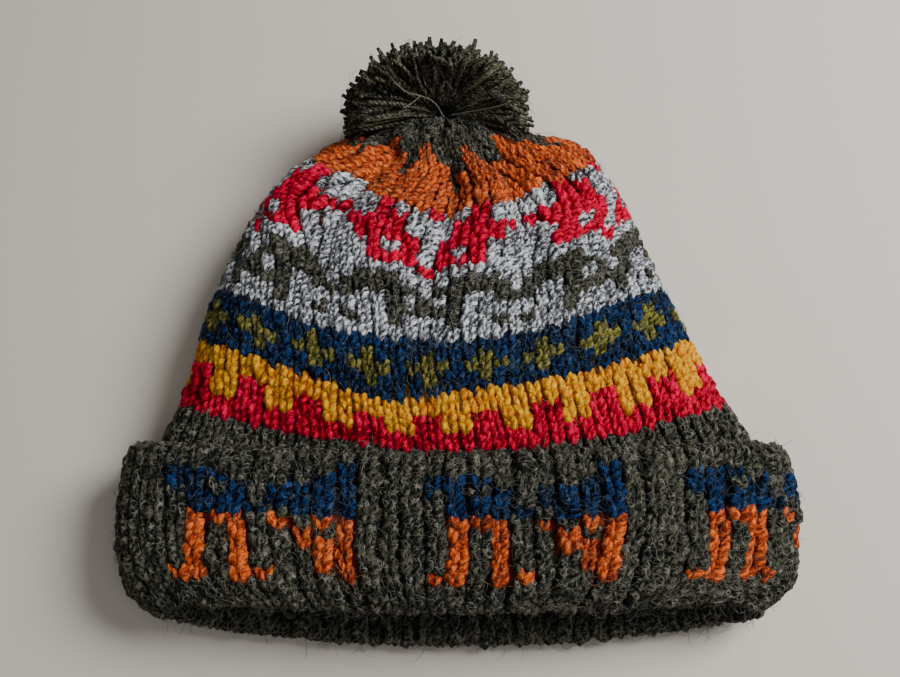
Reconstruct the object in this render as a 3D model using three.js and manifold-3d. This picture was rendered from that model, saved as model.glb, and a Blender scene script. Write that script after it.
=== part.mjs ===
// Knitted pom-pom hat lying on its back: a gathered crown, a turned-up ribbed cuff and a yarn pom-pom.
// Millimetres, +Z up. The floor is z = 0, the brim faces -Y and the pom-pom lies at +Y.
// The origin is the middle of the hat's footprint, on the floor.

import * as THREE from 'three';
import { mergeVertices } from 'three/addons/utils/BufferGeometryUtils.js';
import Module from 'manifold-3d';

const wasm = await Module();
wasm.setup();

// Driving dimensions of the knitted walls.
const CROWN_WALL = 4.2;
const CUFF_LAYER = 5.0;
const CUFF_LAYER_GAP = 1.2;
const PIECE_GAP = 0.35;
const FLOOR = 0;

// How round the knit lies: a superellipse power for the top half and a flatter one for the side on the floor.
const TOP_POWER = 2.25;
const FLOOR_POWER = 4.2;

// Mesh fineness.
const CROWN_COLUMNS = 72;
const CROWN_STEPS_OUTSIDE = 17;
const CROWN_STEPS_INSIDE = 9;
const LOOP_SAMPLES = 160;

// The crown from the cuff's top edge to the gathered top. Each row is one knitted round.
// y: where the round crosses the top of the lying hat, half: half its width, crest: its highest point,
// edge: height of its widest point, base: its lowest point, sag: how much further its sides reach
// towards the pom-pom than its middle, rake: how much further its crest does, lean: its shift along X.
const CROWN_SECTIONS = [
  { y: -52.75, half: 102.0, crest: 42.4, edge: 21.0, base: 6.0, sag: 20.0, rake: 0.0, lean: -0.6 },
  { y: -39.75, half: 94.8, crest: 49.5, edge: 19.5, base: 0.6, sag: 25.0, rake: 0.0, lean: -2.6 },
  { y: -23.75, half: 88.6, crest: 54.5, edge: 18.5, base: -0.4, sag: 29.5, rake: 0.0, lean: -5.1 },
  { y: -6.75, half: 81.4, crest: 56.5, edge: 18.0, base: -0.4, sag: 32.0, rake: 0.0, lean: -6.2 },
  { y: 11.25, half: 74.2, crest: 56.0, edge: 18.0, base: -0.4, sag: 33.0, rake: 0.0, lean: -5.5 },
  { y: 27.25, half: 66.4, crest: 54.5, edge: 18.5, base: -0.4, sag: 33.0, rake: 0.0, lean: -3.8 },
  { y: 39.25, half: 57.4, crest: 52.5, edge: 19.5, base: -0.2, sag: 32.0, rake: 0.0, lean: -1.6 },
  { y: 49.25, half: 47.0, crest: 49.5, edge: 21.0, base: 0.4, sag: 29.5, rake: 0.0, lean: 0.2 },
  { y: 56.25, half: 37.5, crest: 46.5, edge: 23.0, base: 2.5, sag: 25.0, rake: 0.0, lean: -1.0 },
  { y: 62.5, half: 31.5, crest: 45.5, edge: 25.0, base: 6.0, sag: 19.0, rake: 0.0, lean: -3.0 },
  { y: 69.5, half: 25.0, crest: 45.0, edge: 28.0, base: 11.0, sag: 12.0, rake: 0.0, lean: -4.5 },
  { y: 76.0, half: 17.5, crest: 44.0, edge: 30.0, base: 17.0, sag: 7.0, rake: 0.0, lean: -5.5 },
  { y: 80.5, half: 10.5, crest: 42.0, edge: 32.5, base: 23.0, sag: 3.0, rake: 0.0, lean: -6.0 },
  { y: 82.5, half: 4.5, crest: 39.0, edge: 34.0, base: 29.0, sag: 1.0, rake: 0.0, lean: -6.0 },
];
const GATHER_POINT = { x: -6.0, y: 83.2, z: 34.0 };

// The outer face of the turned-up cuff, from the lip to its top edge, in the same columns.
const CUFF_SECTIONS = [
  { y: -111.25, half: 109.5, crest: 38.5, edge: 20.0, base: 1.5, sag: 10.0, rake: 8.0, lean: 0.0 },
  { y: -102.75, half: 115.8, crest: 40.5, edge: 20.5, base: -0.4, sag: 9.5, rake: 7.0, lean: 0.0 },
  { y: -92.75, half: 118.8, crest: 42.3, edge: 21.0, base: -0.4, sag: 9.0, rake: 4.5, lean: 0.0 },
  { y: -80.75, half: 120.2, crest: 44.5, edge: 21.5, base: -0.4, sag: 8.5, rake: 2.2, lean: 0.0 },
  { y: -67.75, half: 120.3, crest: 47.0, edge: 21.5, base: -0.4, sag: 8.5, rake: 0.6, lean: 0.0 },
  { y: -52.75, half: 118.0, crest: 49.3, edge: 21.5, base: -0.4, sag: 9.0, rake: 0.0, lean: 0.0 },
];

// Where the crown is joined to the top of the cuff's inner layer, under the outer layer.
const JOINT_Y = -64.35;

// Folds pressed into the crown. turn: place round the hat (0 underneath, 0.25 at +X, 0.5 on top),
// drift: how the place moves from the start of the fold to its end, depth: how far the knit sinks
// (a ridge is negative), width: half width as a share of the round, start, full, fade and end: the
// section numbers, the joint with the cuff being 0, between which the fold grows, holds and dies away.
const CROWN_FOLDS = [
  { turn: 0.385, drift: 0.03, depth: 6.5, width: 0.028, start: 3.2, full: 5.8, fade: 8.6, end: 11.0 },
  { turn: 0.505, drift: -0.01, depth: 3.6, width: 0.02, start: 3.6, full: 5.4, fade: 8.4, end: 11.0 },
  { turn: 0.645, drift: -0.02, depth: 8.0, width: 0.024, start: 3.6, full: 6.2, fade: 8.8, end: 11.0 },
  { turn: 0.452, drift: 0.0, depth: -2.4, width: 0.028, start: 3.8, full: 6.2, fade: 8.6, end: 10.8 },
  { turn: 0.562, drift: 0.0, depth: -2.8, width: 0.026, start: 3.8, full: 6.4, fade: 8.8, end: 10.8 },
  { turn: 0.318, drift: 0.02, depth: -2.6, width: 0.034, start: 3.6, full: 6.0, fade: 8.6, end: 10.8 },
  { turn: 0.69, drift: -0.02, depth: -2.6, width: 0.034, start: 3.6, full: 6.0, fade: 8.6, end: 10.8 },
  { turn: 0.245, drift: 0.03, depth: 3.4, width: 0.024, start: 5.0, full: 7.0, fade: 9.0, end: 11.0 },
  { turn: 0.765, drift: -0.03, depth: 3.4, width: 0.024, start: 5.0, full: 7.0, fade: 9.0, end: 11.0 },
  { turn: 0.12, drift: 0.02, depth: 3.0, width: 0.022, start: 6.0, full: 7.6, fade: 9.2, end: 11.0 },
  { turn: 0.9, drift: -0.02, depth: 3.0, width: 0.022, start: 6.0, full: 7.6, fade: 9.2, end: 11.0 },
];

// Even gathers round the drawn-in top.
const GATHERS = { count: 12, depth: 1.3, start: 6.0, full: 9.0, fade: 11.6, end: 14.0 };

// Ribs of the cuff: two raised columns to each groove, pressed flat where the cuff lies on the floor.
// RIB_SHIFT moves the grooves round the cuff, as a share of the space between columns.
const RIB_COUNT = 36;
const RIB_SHIFT = 2.25;
const RIB_RELIEF = 1.5;
const PRESSED_HEIGHT = 3.0;

// The pom-pom: a round head with locks of yarn standing out of it. flatSide and farSide are how deep
// its side towards the crown and its far side are, as shares of its radius.
const POMPOM = {
  x: -6.5,
  z: 36.5,
  farEnd: 111.25,
  radius: 37.0,
  headRadius: 33.0,
  locks: 48,
  flatSide: 0.36,
  farSide: 0.72,
};
const LOCK = { start: 0.55, belly: 8.2, bellyAt: 0.84, tip: 4.6, tipAt: 0.97, sides: 5, uneven: 2.0 };

const SECTION_KEYS = ['y', 'half', 'crest', 'edge', 'base', 'sag', 'rake', 'lean'];

// A smooth curve through the table's rows, read at a fractional row number.
function sectionAt(table, place) {
  const last = table.length - 1;
  const at = Math.min(Math.max(place, 0), last);
  const row = Math.min(Math.floor(at), last - 1);
  const t = at - row;
  const section = {};
  for (const key of SECTION_KEYS) {
    const here = table[row][key];
    const next = table[row + 1][key];
    const before = row > 0 ? table[row - 1][key] : 2 * here - next;
    const after = row + 2 <= last ? table[row + 2][key] : 2 * next - here;
    const slopeHere = (next - before) / 2;
    const slopeNext = (after - here) / 2;
    section[key] = here * (2 * t ** 3 - 3 * t ** 2 + 1) + slopeHere * (t ** 3 - 2 * t ** 2 + t)
      + next * (3 * t ** 2 - 2 * t ** 3) + slopeNext * (t ** 3 - t ** 2);
  }
  return section;
}

// The fractional row number at which the table's y column reaches a value.
function placeOfY(table, y) {
  let low = 0;
  let high = table.length - 1;
  for (let step = 0; step < 40; step += 1) {
    const middle = (low + high) / 2;
    if (sectionAt(table, middle).y < y) {
      low = middle;
    } else {
      high = middle;
    }
  }
  return (low + high) / 2;
}

// The crown's first round lies level with the inner layer of the cuff.
function jointSection() {
  const section = sectionAt(CUFF_SECTIONS, placeOfY(CUFF_SECTIONS, JOINT_Y));
  const inset = CUFF_LAYER + CUFF_LAYER_GAP;
  section.sag *= (1 - inset / section.half) ** 2;
  section.half -= inset;
  section.crest -= inset;
  section.base += inset;
  return section;
}

const CROWN_ROUNDS = [jointSection(), ...CROWN_SECTIONS];

// A rise from 0 to 1 between start and full, and back to 0 between fade and end.
function swell(place, { start, full, fade, end }) {
  const up = THREE.MathUtils.smoothstep(place, start, full);
  const down = 1 - THREE.MathUtils.smoothstep(place, fade, end);
  return up * down;
}

// Where a round lies along the hat, at a distance from its middle and a share of its height.
function roundY(section, x, raised) {
  return section.y + section.sag * (x / section.half) ** 2 + section.rake * raised;
}

// A closed round of a section, inset by a distance and cut into equal lengths, starting underneath
// and going by +X over the top. shift moves the start by a share of one length.
function roundOf(section, inset, columns, shift = 0) {
  const half = section.half - inset;
  const rise = Math.max(section.crest - inset - section.edge, 0.5);
  const drop = Math.max(section.edge - section.base - inset, 0.5);
  const outline = [];
  for (let i = 0; i <= LOOP_SAMPLES; i += 1) {
    const angle = (2 * Math.PI * i) / LOOP_SAMPLES - Math.PI / 2;
    const c = Math.cos(angle);
    const s = Math.sin(angle);
    const power = s > 0 ? TOP_POWER : FLOOR_POWER;
    const height = s > 0 ? rise : drop;
    const x = half * Math.sign(c) * Math.abs(c) ** (2 / power);
    const z = section.edge + height * Math.sign(s) * Math.abs(s) ** (2 / power);
    outline.push(new THREE.Vector2(x, z));
  }
  const lengths = [0];
  for (let i = 1; i < outline.length; i += 1) {
    lengths.push(lengths[i - 1] + outline[i].distanceTo(outline[i - 1]));
  }
  const total = lengths[LOOP_SAMPLES];
  const points = [];
  for (let column = 0; column < columns; column += 1) {
    const want = (total * ((column + shift) % columns)) / columns;
    let i = 1;
    while (lengths[i] < want) {
      i += 1;
    }
    const share = (want - lengths[i - 1]) / (lengths[i] - lengths[i - 1]);
    const at = outline[i - 1].clone().lerp(outline[i], share);
    const raised = Math.max((at.y - section.edge) / rise, 0);
    points.push(new THREE.Vector3(at.x + section.lean, roundY(section, at.x, raised), at.y));
  }
  return points;
}

// How far the crown's knit sinks at a place round the hat, at a section number.
function foldDepth(turn, place) {
  let depth = 0;
  for (const fold of CROWN_FOLDS) {
    const along = THREE.MathUtils.clamp((place - fold.start) / (fold.end - fold.start), 0, 1);
    const away = (turn - fold.turn - fold.drift * along) / fold.width;
    depth += fold.depth * Math.exp(-away * away) * swell(place, fold);
  }
  const wave = Math.cos(2 * Math.PI * GATHERS.count * turn);
  return depth + GATHERS.depth * wave * swell(place, GATHERS);
}

// One round of the crown's outer face, with its folds, kept above the floor.
function crownRound(place) {
  const section = sectionAt(CROWN_ROUNDS, place);
  const points = roundOf(section, 0, CROWN_COLUMNS);
  const middle = new THREE.Vector3(section.lean, 0, section.edge);
  return points.map((point, column) => {
    const inward = middle.clone().setY(point.y).sub(point).normalize();
    point.addScaledVector(inward, foldDepth(column / CROWN_COLUMNS, place));
    point.z = Math.max(point.z, FLOOR);
    return point;
  });
}

// Outward directions over a grid of rounds, from its neighbours.
function outwardOf(rounds) {
  return rounds.map((round, step) => round.map((point, column) => {
    const before = rounds[Math.max(step - 1, 0)][column];
    const after = rounds[Math.min(step + 1, rounds.length - 1)][column];
    const left = round[(column + round.length - 1) % round.length];
    const right = round[(column + 1) % round.length];
    const along = after.clone().sub(before);
    const across = right.clone().sub(left);
    return along.cross(across).normalize();
  }));
}

// Joins closed rounds, each with as many points, into one skin. Where a cap point is given, the last
// round closes on it, and without one the last round joins the first.
function skinOf(rounds, firstCap, lastCap) {
  const columns = rounds[0].length;
  const vertices = rounds.flat();
  const faces = [];
  const joinRounds = (low, high) => {
    for (let column = 0; column < columns; column += 1) {
      const next = (column + 1) % columns;
      const a = low * columns + column;
      const b = low * columns + next;
      const c = high * columns + next;
      const d = high * columns + column;
      faces.push([a, b, c], [a, c, d]);
    }
  };
  for (let round = 0; round + 1 < rounds.length; round += 1) {
    joinRounds(round, round + 1);
  }
  if (lastCap) {
    const first = vertices.push(firstCap) - 1;
    const last = vertices.push(lastCap) - 1;
    const top = (rounds.length - 1) * columns;
    for (let column = 0; column < columns; column += 1) {
      const next = (column + 1) % columns;
      faces.push([next, column, first], [top + column, top + next, last]);
    }
  } else {
    joinRounds(rounds.length - 1, 0);
  }
  return geometryOf(vertices, faces);
}

function geometryOf(vertices, faces) {
  const geometry = new THREE.BufferGeometry();
  const numbers = vertices.flatMap((vertex) => [vertex.x, vertex.y, vertex.z]);
  geometry.setAttribute('position', new THREE.Float32BufferAttribute(numbers, 3));
  geometry.setIndex(faces.flat());
  geometry.computeVertexNormals();
  return geometry;
}

// The crown: the outer face from the joint to the gathered point, then the inner face back again.
function crownGeometry() {
  const last = CROWN_ROUNDS.length - 1;
  const outside = [];
  for (let step = 0; step <= CROWN_STEPS_OUTSIDE; step += 1) {
    outside.push(crownRound((last * step) / CROWN_STEPS_OUTSIDE));
  }
  const innerLast = last - 3;
  const fine = [];
  for (let step = 0; step <= CROWN_STEPS_INSIDE; step += 1) {
    fine.push(crownRound((innerLast * step) / CROWN_STEPS_INSIDE));
  }
  const outward = outwardOf(fine);
  const inside = fine.map((round, step) => round.map((point, column) => {
    const moved = point.clone().addScaledVector(outward[step][column], -CROWN_WALL);
    if (step === 0) {
      const { edge, crest } = CROWN_ROUNDS[0];
      const raised = Math.max((moved.z - edge) / (crest - CROWN_WALL - edge), 0);
      moved.y = roundY(CROWN_ROUNDS[0], moved.x, raised);
    }
    return moved;
  }));
  const gather = new THREE.Vector3(GATHER_POINT.x, GATHER_POINT.y, GATHER_POINT.z);
  const innerGather = gather.clone().setY(gather.y - 1.6 * CROWN_WALL);
  return skinOf([...outside.reverse(), ...inside], gather, innerGather);
}

// The crown's outer face moved out by a gap, as a solid that other pieces are cut by.
function crownKeepOut(gap) {
  const last = CROWN_ROUNDS.length - 1;
  const rounds = [];
  for (let step = 0; step <= CROWN_STEPS_OUTSIDE; step += 1) {
    rounds.push(crownRound((last * step) / CROWN_STEPS_OUTSIDE));
  }
  const outward = outwardOf(rounds);
  const moved = rounds.map((round, step) => round.map(
    (point, column) => point.clone().addScaledVector(outward[step][column], gap),
  ));
  const gather = new THREE.Vector3(GATHER_POINT.x, GATHER_POINT.y + gap, GATHER_POINT.z);
  const mouth = new THREE.Vector3(0, CROWN_ROUNDS[0].y, CROWN_ROUNDS[0].edge);
  return skinOf(moved.reverse(), gather, mouth);
}

// The cuff: a U of two layers, drawn as stations of height along the hat and depth below the outer face.
function cuffGeometry() {
  const inner = CUFF_LAYER + CUFF_LAYER_GAP;
  const full = 2 * CUFF_LAYER + CUFF_LAYER_GAP;
  const joint = JOINT_Y - PIECE_GAP;
  const stations = [
    { y: -52.75, depth: 2.4 },
    { y: -54.75, depth: 0.3 },
    { y: -66.75, depth: 0.0 },
    { y: -80.75, depth: 0.0 },
    { y: -94.75, depth: 0.0 },
    { y: -104.25, depth: 0.6 },
    { y: -109.25, depth: 2.8 },
    { y: -111.25, depth: 5.6 },
    { y: -109.25, depth: full - 2.8 },
    { y: -103.75, depth: full - 0.4 },
    { y: -92.75, depth: full },
    { y: -78.75, depth: full },
    { y: joint, depth: full },
    { y: joint, depth: inner },
    { y: -78.75, depth: inner },
    { y: -92.75, depth: inner },
    { y: -101.75, depth: inner - 0.6 },
    { y: -92.75, depth: CUFF_LAYER },
    { y: -78.75, depth: CUFF_LAYER },
    { y: -65.75, depth: CUFF_LAYER },
    { y: -54.25, depth: CUFF_LAYER - 0.4 },
  ];
  const columns = RIB_COUNT * 3;
  const rounds = stations.map((station) => {
    const section = sectionAt(CUFF_SECTIONS, placeOfY(CUFF_SECTIONS, station.y));
    section.y = station.y;
    const ribbed = roundOf(section, station.depth, columns, RIB_SHIFT);
    const facesOut = station.depth < 2 || station.depth > full - 2;
    const side = station.depth < full / 2 ? 1 : -1;
    const relief = facesOut ? RIB_RELIEF : 0;
    return ribbed.map((point, column) => {
      const inward = new THREE.Vector3(section.lean, point.y, section.edge).sub(point).normalize();
      const free = point.z > PRESSED_HEIGHT;
      const sunk = free && column % 3 === 0 ? relief * side : 0;
      point.addScaledVector(inward, sunk);
      point.z = Math.max(point.z, FLOOR);
      return point;
    });
  });
  return skinOf(rounds, null, null);
}

function solidOf(geometry) {
  const bare = geometry.clone();
  bare.deleteAttribute('normal');
  bare.deleteAttribute('uv');
  const merged = mergeVertices(bare, 1e-4);
  const mesh = new wasm.Mesh({
    numProp: 3,
    vertProperties: new Float32Array(merged.attributes.position.array),
    triVerts: new Uint32Array(merged.index.array),
  });
  return new wasm.Manifold(mesh);
}

function geometryOfSolid(solid) {
  const mesh = solid.getMesh();
  const geometry = new THREE.BufferGeometry();
  geometry.setAttribute('position', new THREE.BufferAttribute(mesh.vertProperties, 3));
  geometry.setIndex(new THREE.BufferAttribute(mesh.triVerts, 1));
  geometry.computeVertexNormals();
  return geometry;
}

// One lock of yarn: a fat spindle from the head's middle outwards along a direction.
function lockGeometry(direction, length) {
  const profile = [
    new THREE.Vector2(0, length * LOCK.start),
    new THREE.Vector2(LOCK.belly, length * LOCK.bellyAt),
    new THREE.Vector2(LOCK.tip, length * LOCK.tipAt),
    new THREE.Vector2(0, length),
  ];
  const geometry = new THREE.LatheGeometry(profile, LOCK.sides);
  const turn = new THREE.Quaternion().setFromUnitVectors(new THREE.Vector3(0, 1, 0), direction);
  return geometry.applyQuaternion(turn);
}

// The pom-pom: locks spread evenly over a ball, shorter where they meet the floor, fused to the head.
function pompomGeometry() {
  const goldenAngle = Math.PI * (3 - Math.sqrt(5));
  let solid = solidOf(new THREE.IcosahedronGeometry(POMPOM.headRadius, 2));
  for (let i = 0; i < POMPOM.locks; i += 1) {
    const rise = 1 - (2 * i + 1) / POMPOM.locks;
    const ring = Math.sqrt(1 - rise * rise);
    const angle = goldenAngle * i;
    const direction = new THREE.Vector3(ring * Math.cos(angle), ring * Math.sin(angle), rise);
    const uneven = LOCK.uneven * Math.sin(i * 2.3);
    const reach = direction.z < -0.5 ? (POMPOM.z - 1) / -direction.z : POMPOM.radius + uneven;
    solid = solid.add(solidOf(lockGeometry(direction, Math.min(reach, POMPOM.radius + uneven))));
  }
  const geometry = geometryOfSolid(solid);
  const position = geometry.attributes.position;
  for (let i = 0; i < position.count; i += 1) {
    const y = position.getY(i);
    position.setY(i, y * (y < 0 ? POMPOM.flatSide : POMPOM.farSide));
  }
  geometry.computeBoundingBox();
  const box = geometry.boundingBox;
  const y = POMPOM.farEnd - box.max.y;
  const z = Math.max(POMPOM.z, FLOOR - box.min.z);
  geometry.translate(POMPOM.x, y, z);
  const keepOut = solidOf(crownKeepOut(PIECE_GAP));
  const pieces = solidOf(geometry).subtract(keepOut).decompose();
  pieces.sort((one, other) => other.volume() - one.volume());
  return geometryOfSolid(pieces[0]);
}

function knitMaterial(colour, roughness) {
  return new THREE.MeshStandardMaterial({ color: colour, roughness, metalness: 0 });
}

const hat = new THREE.Group();
hat.name = 'pompom_hat';

const crown = new THREE.Mesh(crownGeometry(), knitMaterial('#7a7a78', 0.95));
crown.name = 'crown';

const cuff = new THREE.Mesh(cuffGeometry(), knitMaterial('#3b3f32', 0.95));
cuff.name = 'cuff';

const pompom = new THREE.Mesh(pompomGeometry(), knitMaterial('#33372b', 0.95));
pompom.name = 'pompom';

hat.add(crown, cuff, pompom);

export default hat;
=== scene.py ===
"""The looks of a knitted pom-pom hat lying on its back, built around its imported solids.

Lengths in the tables are millimetres in the frame of the part: +Z up, the brim at -Y, the pom-pom at +Y.
"""

import logging
import math
from dataclasses import dataclass, field
from enum import Enum, IntEnum

import bpy
import numpy as np
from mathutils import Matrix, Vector


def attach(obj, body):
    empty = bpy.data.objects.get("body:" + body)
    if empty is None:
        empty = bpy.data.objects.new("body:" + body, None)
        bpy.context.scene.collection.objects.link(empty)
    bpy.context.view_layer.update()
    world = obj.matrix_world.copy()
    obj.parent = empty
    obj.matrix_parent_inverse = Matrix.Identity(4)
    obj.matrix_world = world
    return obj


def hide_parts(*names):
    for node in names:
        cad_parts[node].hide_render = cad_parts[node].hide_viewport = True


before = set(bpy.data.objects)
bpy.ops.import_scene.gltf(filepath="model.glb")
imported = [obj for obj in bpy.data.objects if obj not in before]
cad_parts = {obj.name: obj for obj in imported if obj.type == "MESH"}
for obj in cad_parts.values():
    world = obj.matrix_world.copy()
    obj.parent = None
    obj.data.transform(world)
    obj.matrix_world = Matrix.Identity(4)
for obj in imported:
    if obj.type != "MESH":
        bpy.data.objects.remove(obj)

LOG = logging.getLogger("hat")
MM = 0.001
BODY = "root"
SEED = 20

# Sizes of the knitted walls, the same as in the solids.
CROWN_WALL = 4.2
CUFF_LAYER = 5.0
CUFF_LAYER_GAP = 1.2
JOINT_Y = -64.35
TOP_POWER = 2.25
FLOOR_POWER = 4.2

# How far below the face of the knit its backing lies, and the least heights of its outer and
# inner sides.
BACKING_DEPTH = 1.5
BACKING_FLOOR = 1.2
INNER_FLOOR = 1.9

# How finely a round is drawn before it is cut into equal lengths, and its least height.
ROUND_SAMPLES = 361
LEAST_HEIGHT = 0.5

# How finely the crowding of stitches is read back, and how often a place in a table is halved.
SHARE_SAMPLES = 721
HALVINGS = 40

# How far every strand stays off the floor, and how many sides a loose fibre has.
FLOOR_GAP = 0.05
FIBRE_SIDES = 3

# Columns: y, half width, crest, edge, base, sag, rake, lean. One row per round of the crown.
CROWN_SECTIONS = [
    (-52.75, 102.0, 42.4, 21.0, 6.0, 20.0, 0.0, -0.6),
    (-39.75, 94.8, 49.5, 19.5, 0.6, 25.0, 0.0, -2.6),
    (-23.75, 88.6, 54.5, 18.5, -0.4, 29.5, 0.0, -5.1),
    (-6.75, 81.4, 56.5, 18.0, -0.4, 32.0, 0.0, -6.2),
    (11.25, 74.2, 56.0, 18.0, -0.4, 33.0, 0.0, -5.5),
    (27.25, 66.4, 54.5, 18.5, -0.4, 33.0, 0.0, -3.8),
    (39.25, 57.4, 52.5, 19.5, -0.2, 32.0, 0.0, -1.6),
    (49.25, 47.0, 49.5, 21.0, 0.4, 29.5, 0.0, 0.2),
    (56.25, 37.5, 46.5, 23.0, 2.5, 25.0, 0.0, -1.0),
    (62.5, 31.5, 45.5, 25.0, 6.0, 19.0, 0.0, -3.0),
    (69.5, 25.0, 45.0, 28.0, 11.0, 12.0, 0.0, -4.5),
    (76.0, 17.5, 44.0, 30.0, 17.0, 7.0, 0.0, -5.5),
    (80.5, 10.5, 42.0, 32.5, 23.0, 3.0, 0.0, -6.0),
    (82.5, 4.5, 39.0, 34.0, 29.0, 1.0, 0.0, -6.0),
]

# Columns as above. One row per round of the turned-up cuff, from its lip to its top edge.
CUFF_SECTIONS = [
    (-111.25, 109.5, 38.5, 20.0, 1.5, 10.0, 8.0, 0.0),
    (-102.75, 115.8, 40.5, 20.5, -0.4, 9.5, 7.0, 0.0),
    (-92.75, 118.8, 42.3, 21.0, -0.4, 9.0, 4.5, 0.0),
    (-80.75, 120.2, 44.5, 21.5, -0.4, 8.5, 2.2, 0.0),
    (-67.75, 120.3, 47.0, 21.5, -0.4, 8.5, 0.6, 0.0),
    (-52.75, 118.0, 49.3, 21.5, -0.4, 9.0, 0.0, 0.0),
]

# Columns: turn, drift, depth, width, start, full, fade, end. One row per fold pressed into the crown.
CROWN_FOLDS = [
    (0.385, 0.03, 6.5, 0.028, 3.2, 5.8, 8.6, 11.0),
    (0.505, -0.01, 3.6, 0.02, 3.6, 5.4, 8.4, 11.0),
    (0.645, -0.02, 8.0, 0.024, 3.6, 6.2, 8.8, 11.0),
    (0.452, 0.0, -2.4, 0.028, 3.8, 6.2, 8.6, 10.8),
    (0.562, 0.0, -2.8, 0.026, 3.8, 6.4, 8.8, 10.8),
    (0.318, 0.02, -2.6, 0.034, 3.6, 6.0, 8.6, 10.8),
    (0.69, -0.02, -2.6, 0.034, 3.6, 6.0, 8.6, 10.8),
    (0.245, 0.03, 3.4, 0.024, 5.0, 7.0, 9.0, 11.0),
    (0.765, -0.03, 3.4, 0.024, 5.0, 7.0, 9.0, 11.0),
    (0.12, 0.02, 3.0, 0.022, 6.0, 7.6, 9.2, 11.0),
    (0.9, -0.02, 3.0, 0.022, 6.0, 7.6, 9.2, 11.0),
]

# How much closer the crown's stitches lie on top than underneath: distance, amount.
CROWN_CROWDING = (
    (0.0, 0.12),
    (40.0, 0.14),
    (58.0, 0.02),
    (75.0, -0.12),
    (92.0, -0.34),
    (106.0, -0.3),
    (124.0, 0.0),
    (150.0, 0.0),
)

# The same for the cuff.
CUFF_CROWDING = ((0.0, -0.06), (200.0, -0.06))

# Where the knit is pulled along, so that a band is thinner on one side of a round and thicker on
# the other. Columns: share of the round, its width, distance, how far it reaches, shift.
PULLS = [
    (0.56, 0.05, 35.7, 19.0, -5.5),
    (0.7, 0.09, 104.8, 25.0, 4.5),
    (0.3, 0.09, 104.8, 25.0, 3.0),
]

# Even gathers round the drawn-in top: count, depth, start, full, fade, end.
GATHERS = (12, 1.3, 6.0, 9.0, 11.6, 14.0)

# The cuff's path in cross section, from inside its top edge over the face to the joint: y, depth.
CUFF_PATH = [
    (-60.0, 4.9),
    (-54.6, 4.6),
    (-52.75, 2.4),
    (-54.75, 0.3),
    (-60.75, 0.0),
    (-66.75, 0.0),
    (-73.75, 0.0),
    (-80.75, 0.0),
    (-87.75, 0.0),
    (-94.75, 0.0),
    (-100.25, 0.1),
    (-104.25, 0.6),
    (-109.25, 2.8),
    (-111.25, 5.6),
    (-109.25, 8.4),
    (-103.75, 10.8),
    (-98.0, 11.2),
    (-90.0, 11.2),
    (-78.75, 11.2),
    (-64.7, 11.2),
]

# Threads across the pom-pom, as pairs of across and up from its middle. One row per thread.
TIE_THREADS = [
    (-21.0, 12.5, -14.5, 6.5, -8.5, 5.5, -3.0, 3.5, 0.5, -1.5),
    (-15.0, 0.0, -11.0, 3.0, -8.5, 5.5),
    (2.0, -1.0, 11.0, -0.5, 20.5, 0.0, 25.0, 1.5),
    (-2.0, 16.0, 0.5, 12.0, 3.5, 8.0),
    (-10.0, 21.0, -8.0, 15.0, -6.5, 9.0),
]

# Stitches of one repeat of the crown's wide band, top row first. R crimson, D forest, . grey.
FLOWER_CHART = [
    "...R..R..R..",
    "...RR...RR..",
    ".RRRR...RRRR",
    "..RRRR.RRRR.",
    "...R.R.R.R..",
    "...RRR.RRR..",
    "......R.....",
    "..DDD...DDD.",
    ".DDDDD.DDDDD",
    "DD..D.D.D..D",
    "....DDDDD...",
    ".D..D...D..D",
    "............",
]

# The band of small crosses below it. O olive, . blue.
CROSS_CHART = [
    "....",
    "O...",
    "OO.O",
    "O...",
    "....",
]

# The toothed band of two warm colours. Y mustard, R crimson.
TOOTH_CHART = [
    "YYYY",
    "YYYY",
    "YYRR",
    "YYRR",
    "RRRR",
    "RRRR",
]

# The rows of the star round the top. Columns: stitches in the round, and how far from the middle of
# a point its forest yarn reaches, where half reaches the next point.
STAR_ROWS = [
    (72, 0.0),
    (72, 0.0),
    (72, 0.0),
    (72, 0.085),
    (60, 0.1),
    (60, 0.2),
    (60, 0.3),
    (48, 0.35),
    (48, 0.45),
    (36, 0.5),
    (24, 0.5),
    (12, 0.5),
]

# One repeat of the figure round the cuff, top row first. B blue, O rust, . forest.
CUFF_CHART = [
    "............",
    "............",
    "........B...",
    "BBB....BB...",
    "BB.B.BBBB...",
    ".BBB.BBBB...",
    ".BBBB.BBB...",
    ".OOO.O.OO...",
    ".O.O..O.O...",
    ".O.O..OOO...",
    ".O.O...OO...",
    ".O.O...OO...",
    "OO.OO...O...",
    "............",
    "............",
    "............",
]


class Column(IntEnum):
    """The columns of the section tables."""

    Y = 0
    HALF_WIDTH = 1
    CREST = 2
    EDGE = 3
    BASE = 4
    SAG = 5
    RAKE = 6
    LEAN = 7


class Yarn(Enum):
    """The yarns, by the name of their material slot."""

    FOREST = "forest_wool"
    GREY = "grey_marl_wool"
    CRIMSON = "crimson_wool"
    MUSTARD = "mustard_wool"
    BLUE = "blue_wool"
    OLIVE = "olive_wool"
    RUST = "rust_wool"
    POMPOM = "pompom_wool"


def linear(code: str) -> tuple[float, float, float]:
    """Turns a colour code into the linear values that a shader takes.

    Args:
        code: Six hexadecimal digits, as seen on a screen.

    Returns:
        Red, green and blue from 0 to 1.
    """
    parts = [int(code[i:i + 2], 16) / 255 for i in (0, 2, 4)]
    return tuple(p / 12.92 if p <= 0.04045 else ((p + 0.055) / 1.055) ** 2.4 for p in parts)


def smooth_step(value: np.ndarray, low: float, high: float) -> np.ndarray:
    """Rises from 0 at low to 1 at high, with level ends."""
    share = np.clip((value - low) / (high - low), 0, 1)
    return share * share * (3 - 2 * share)


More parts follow.
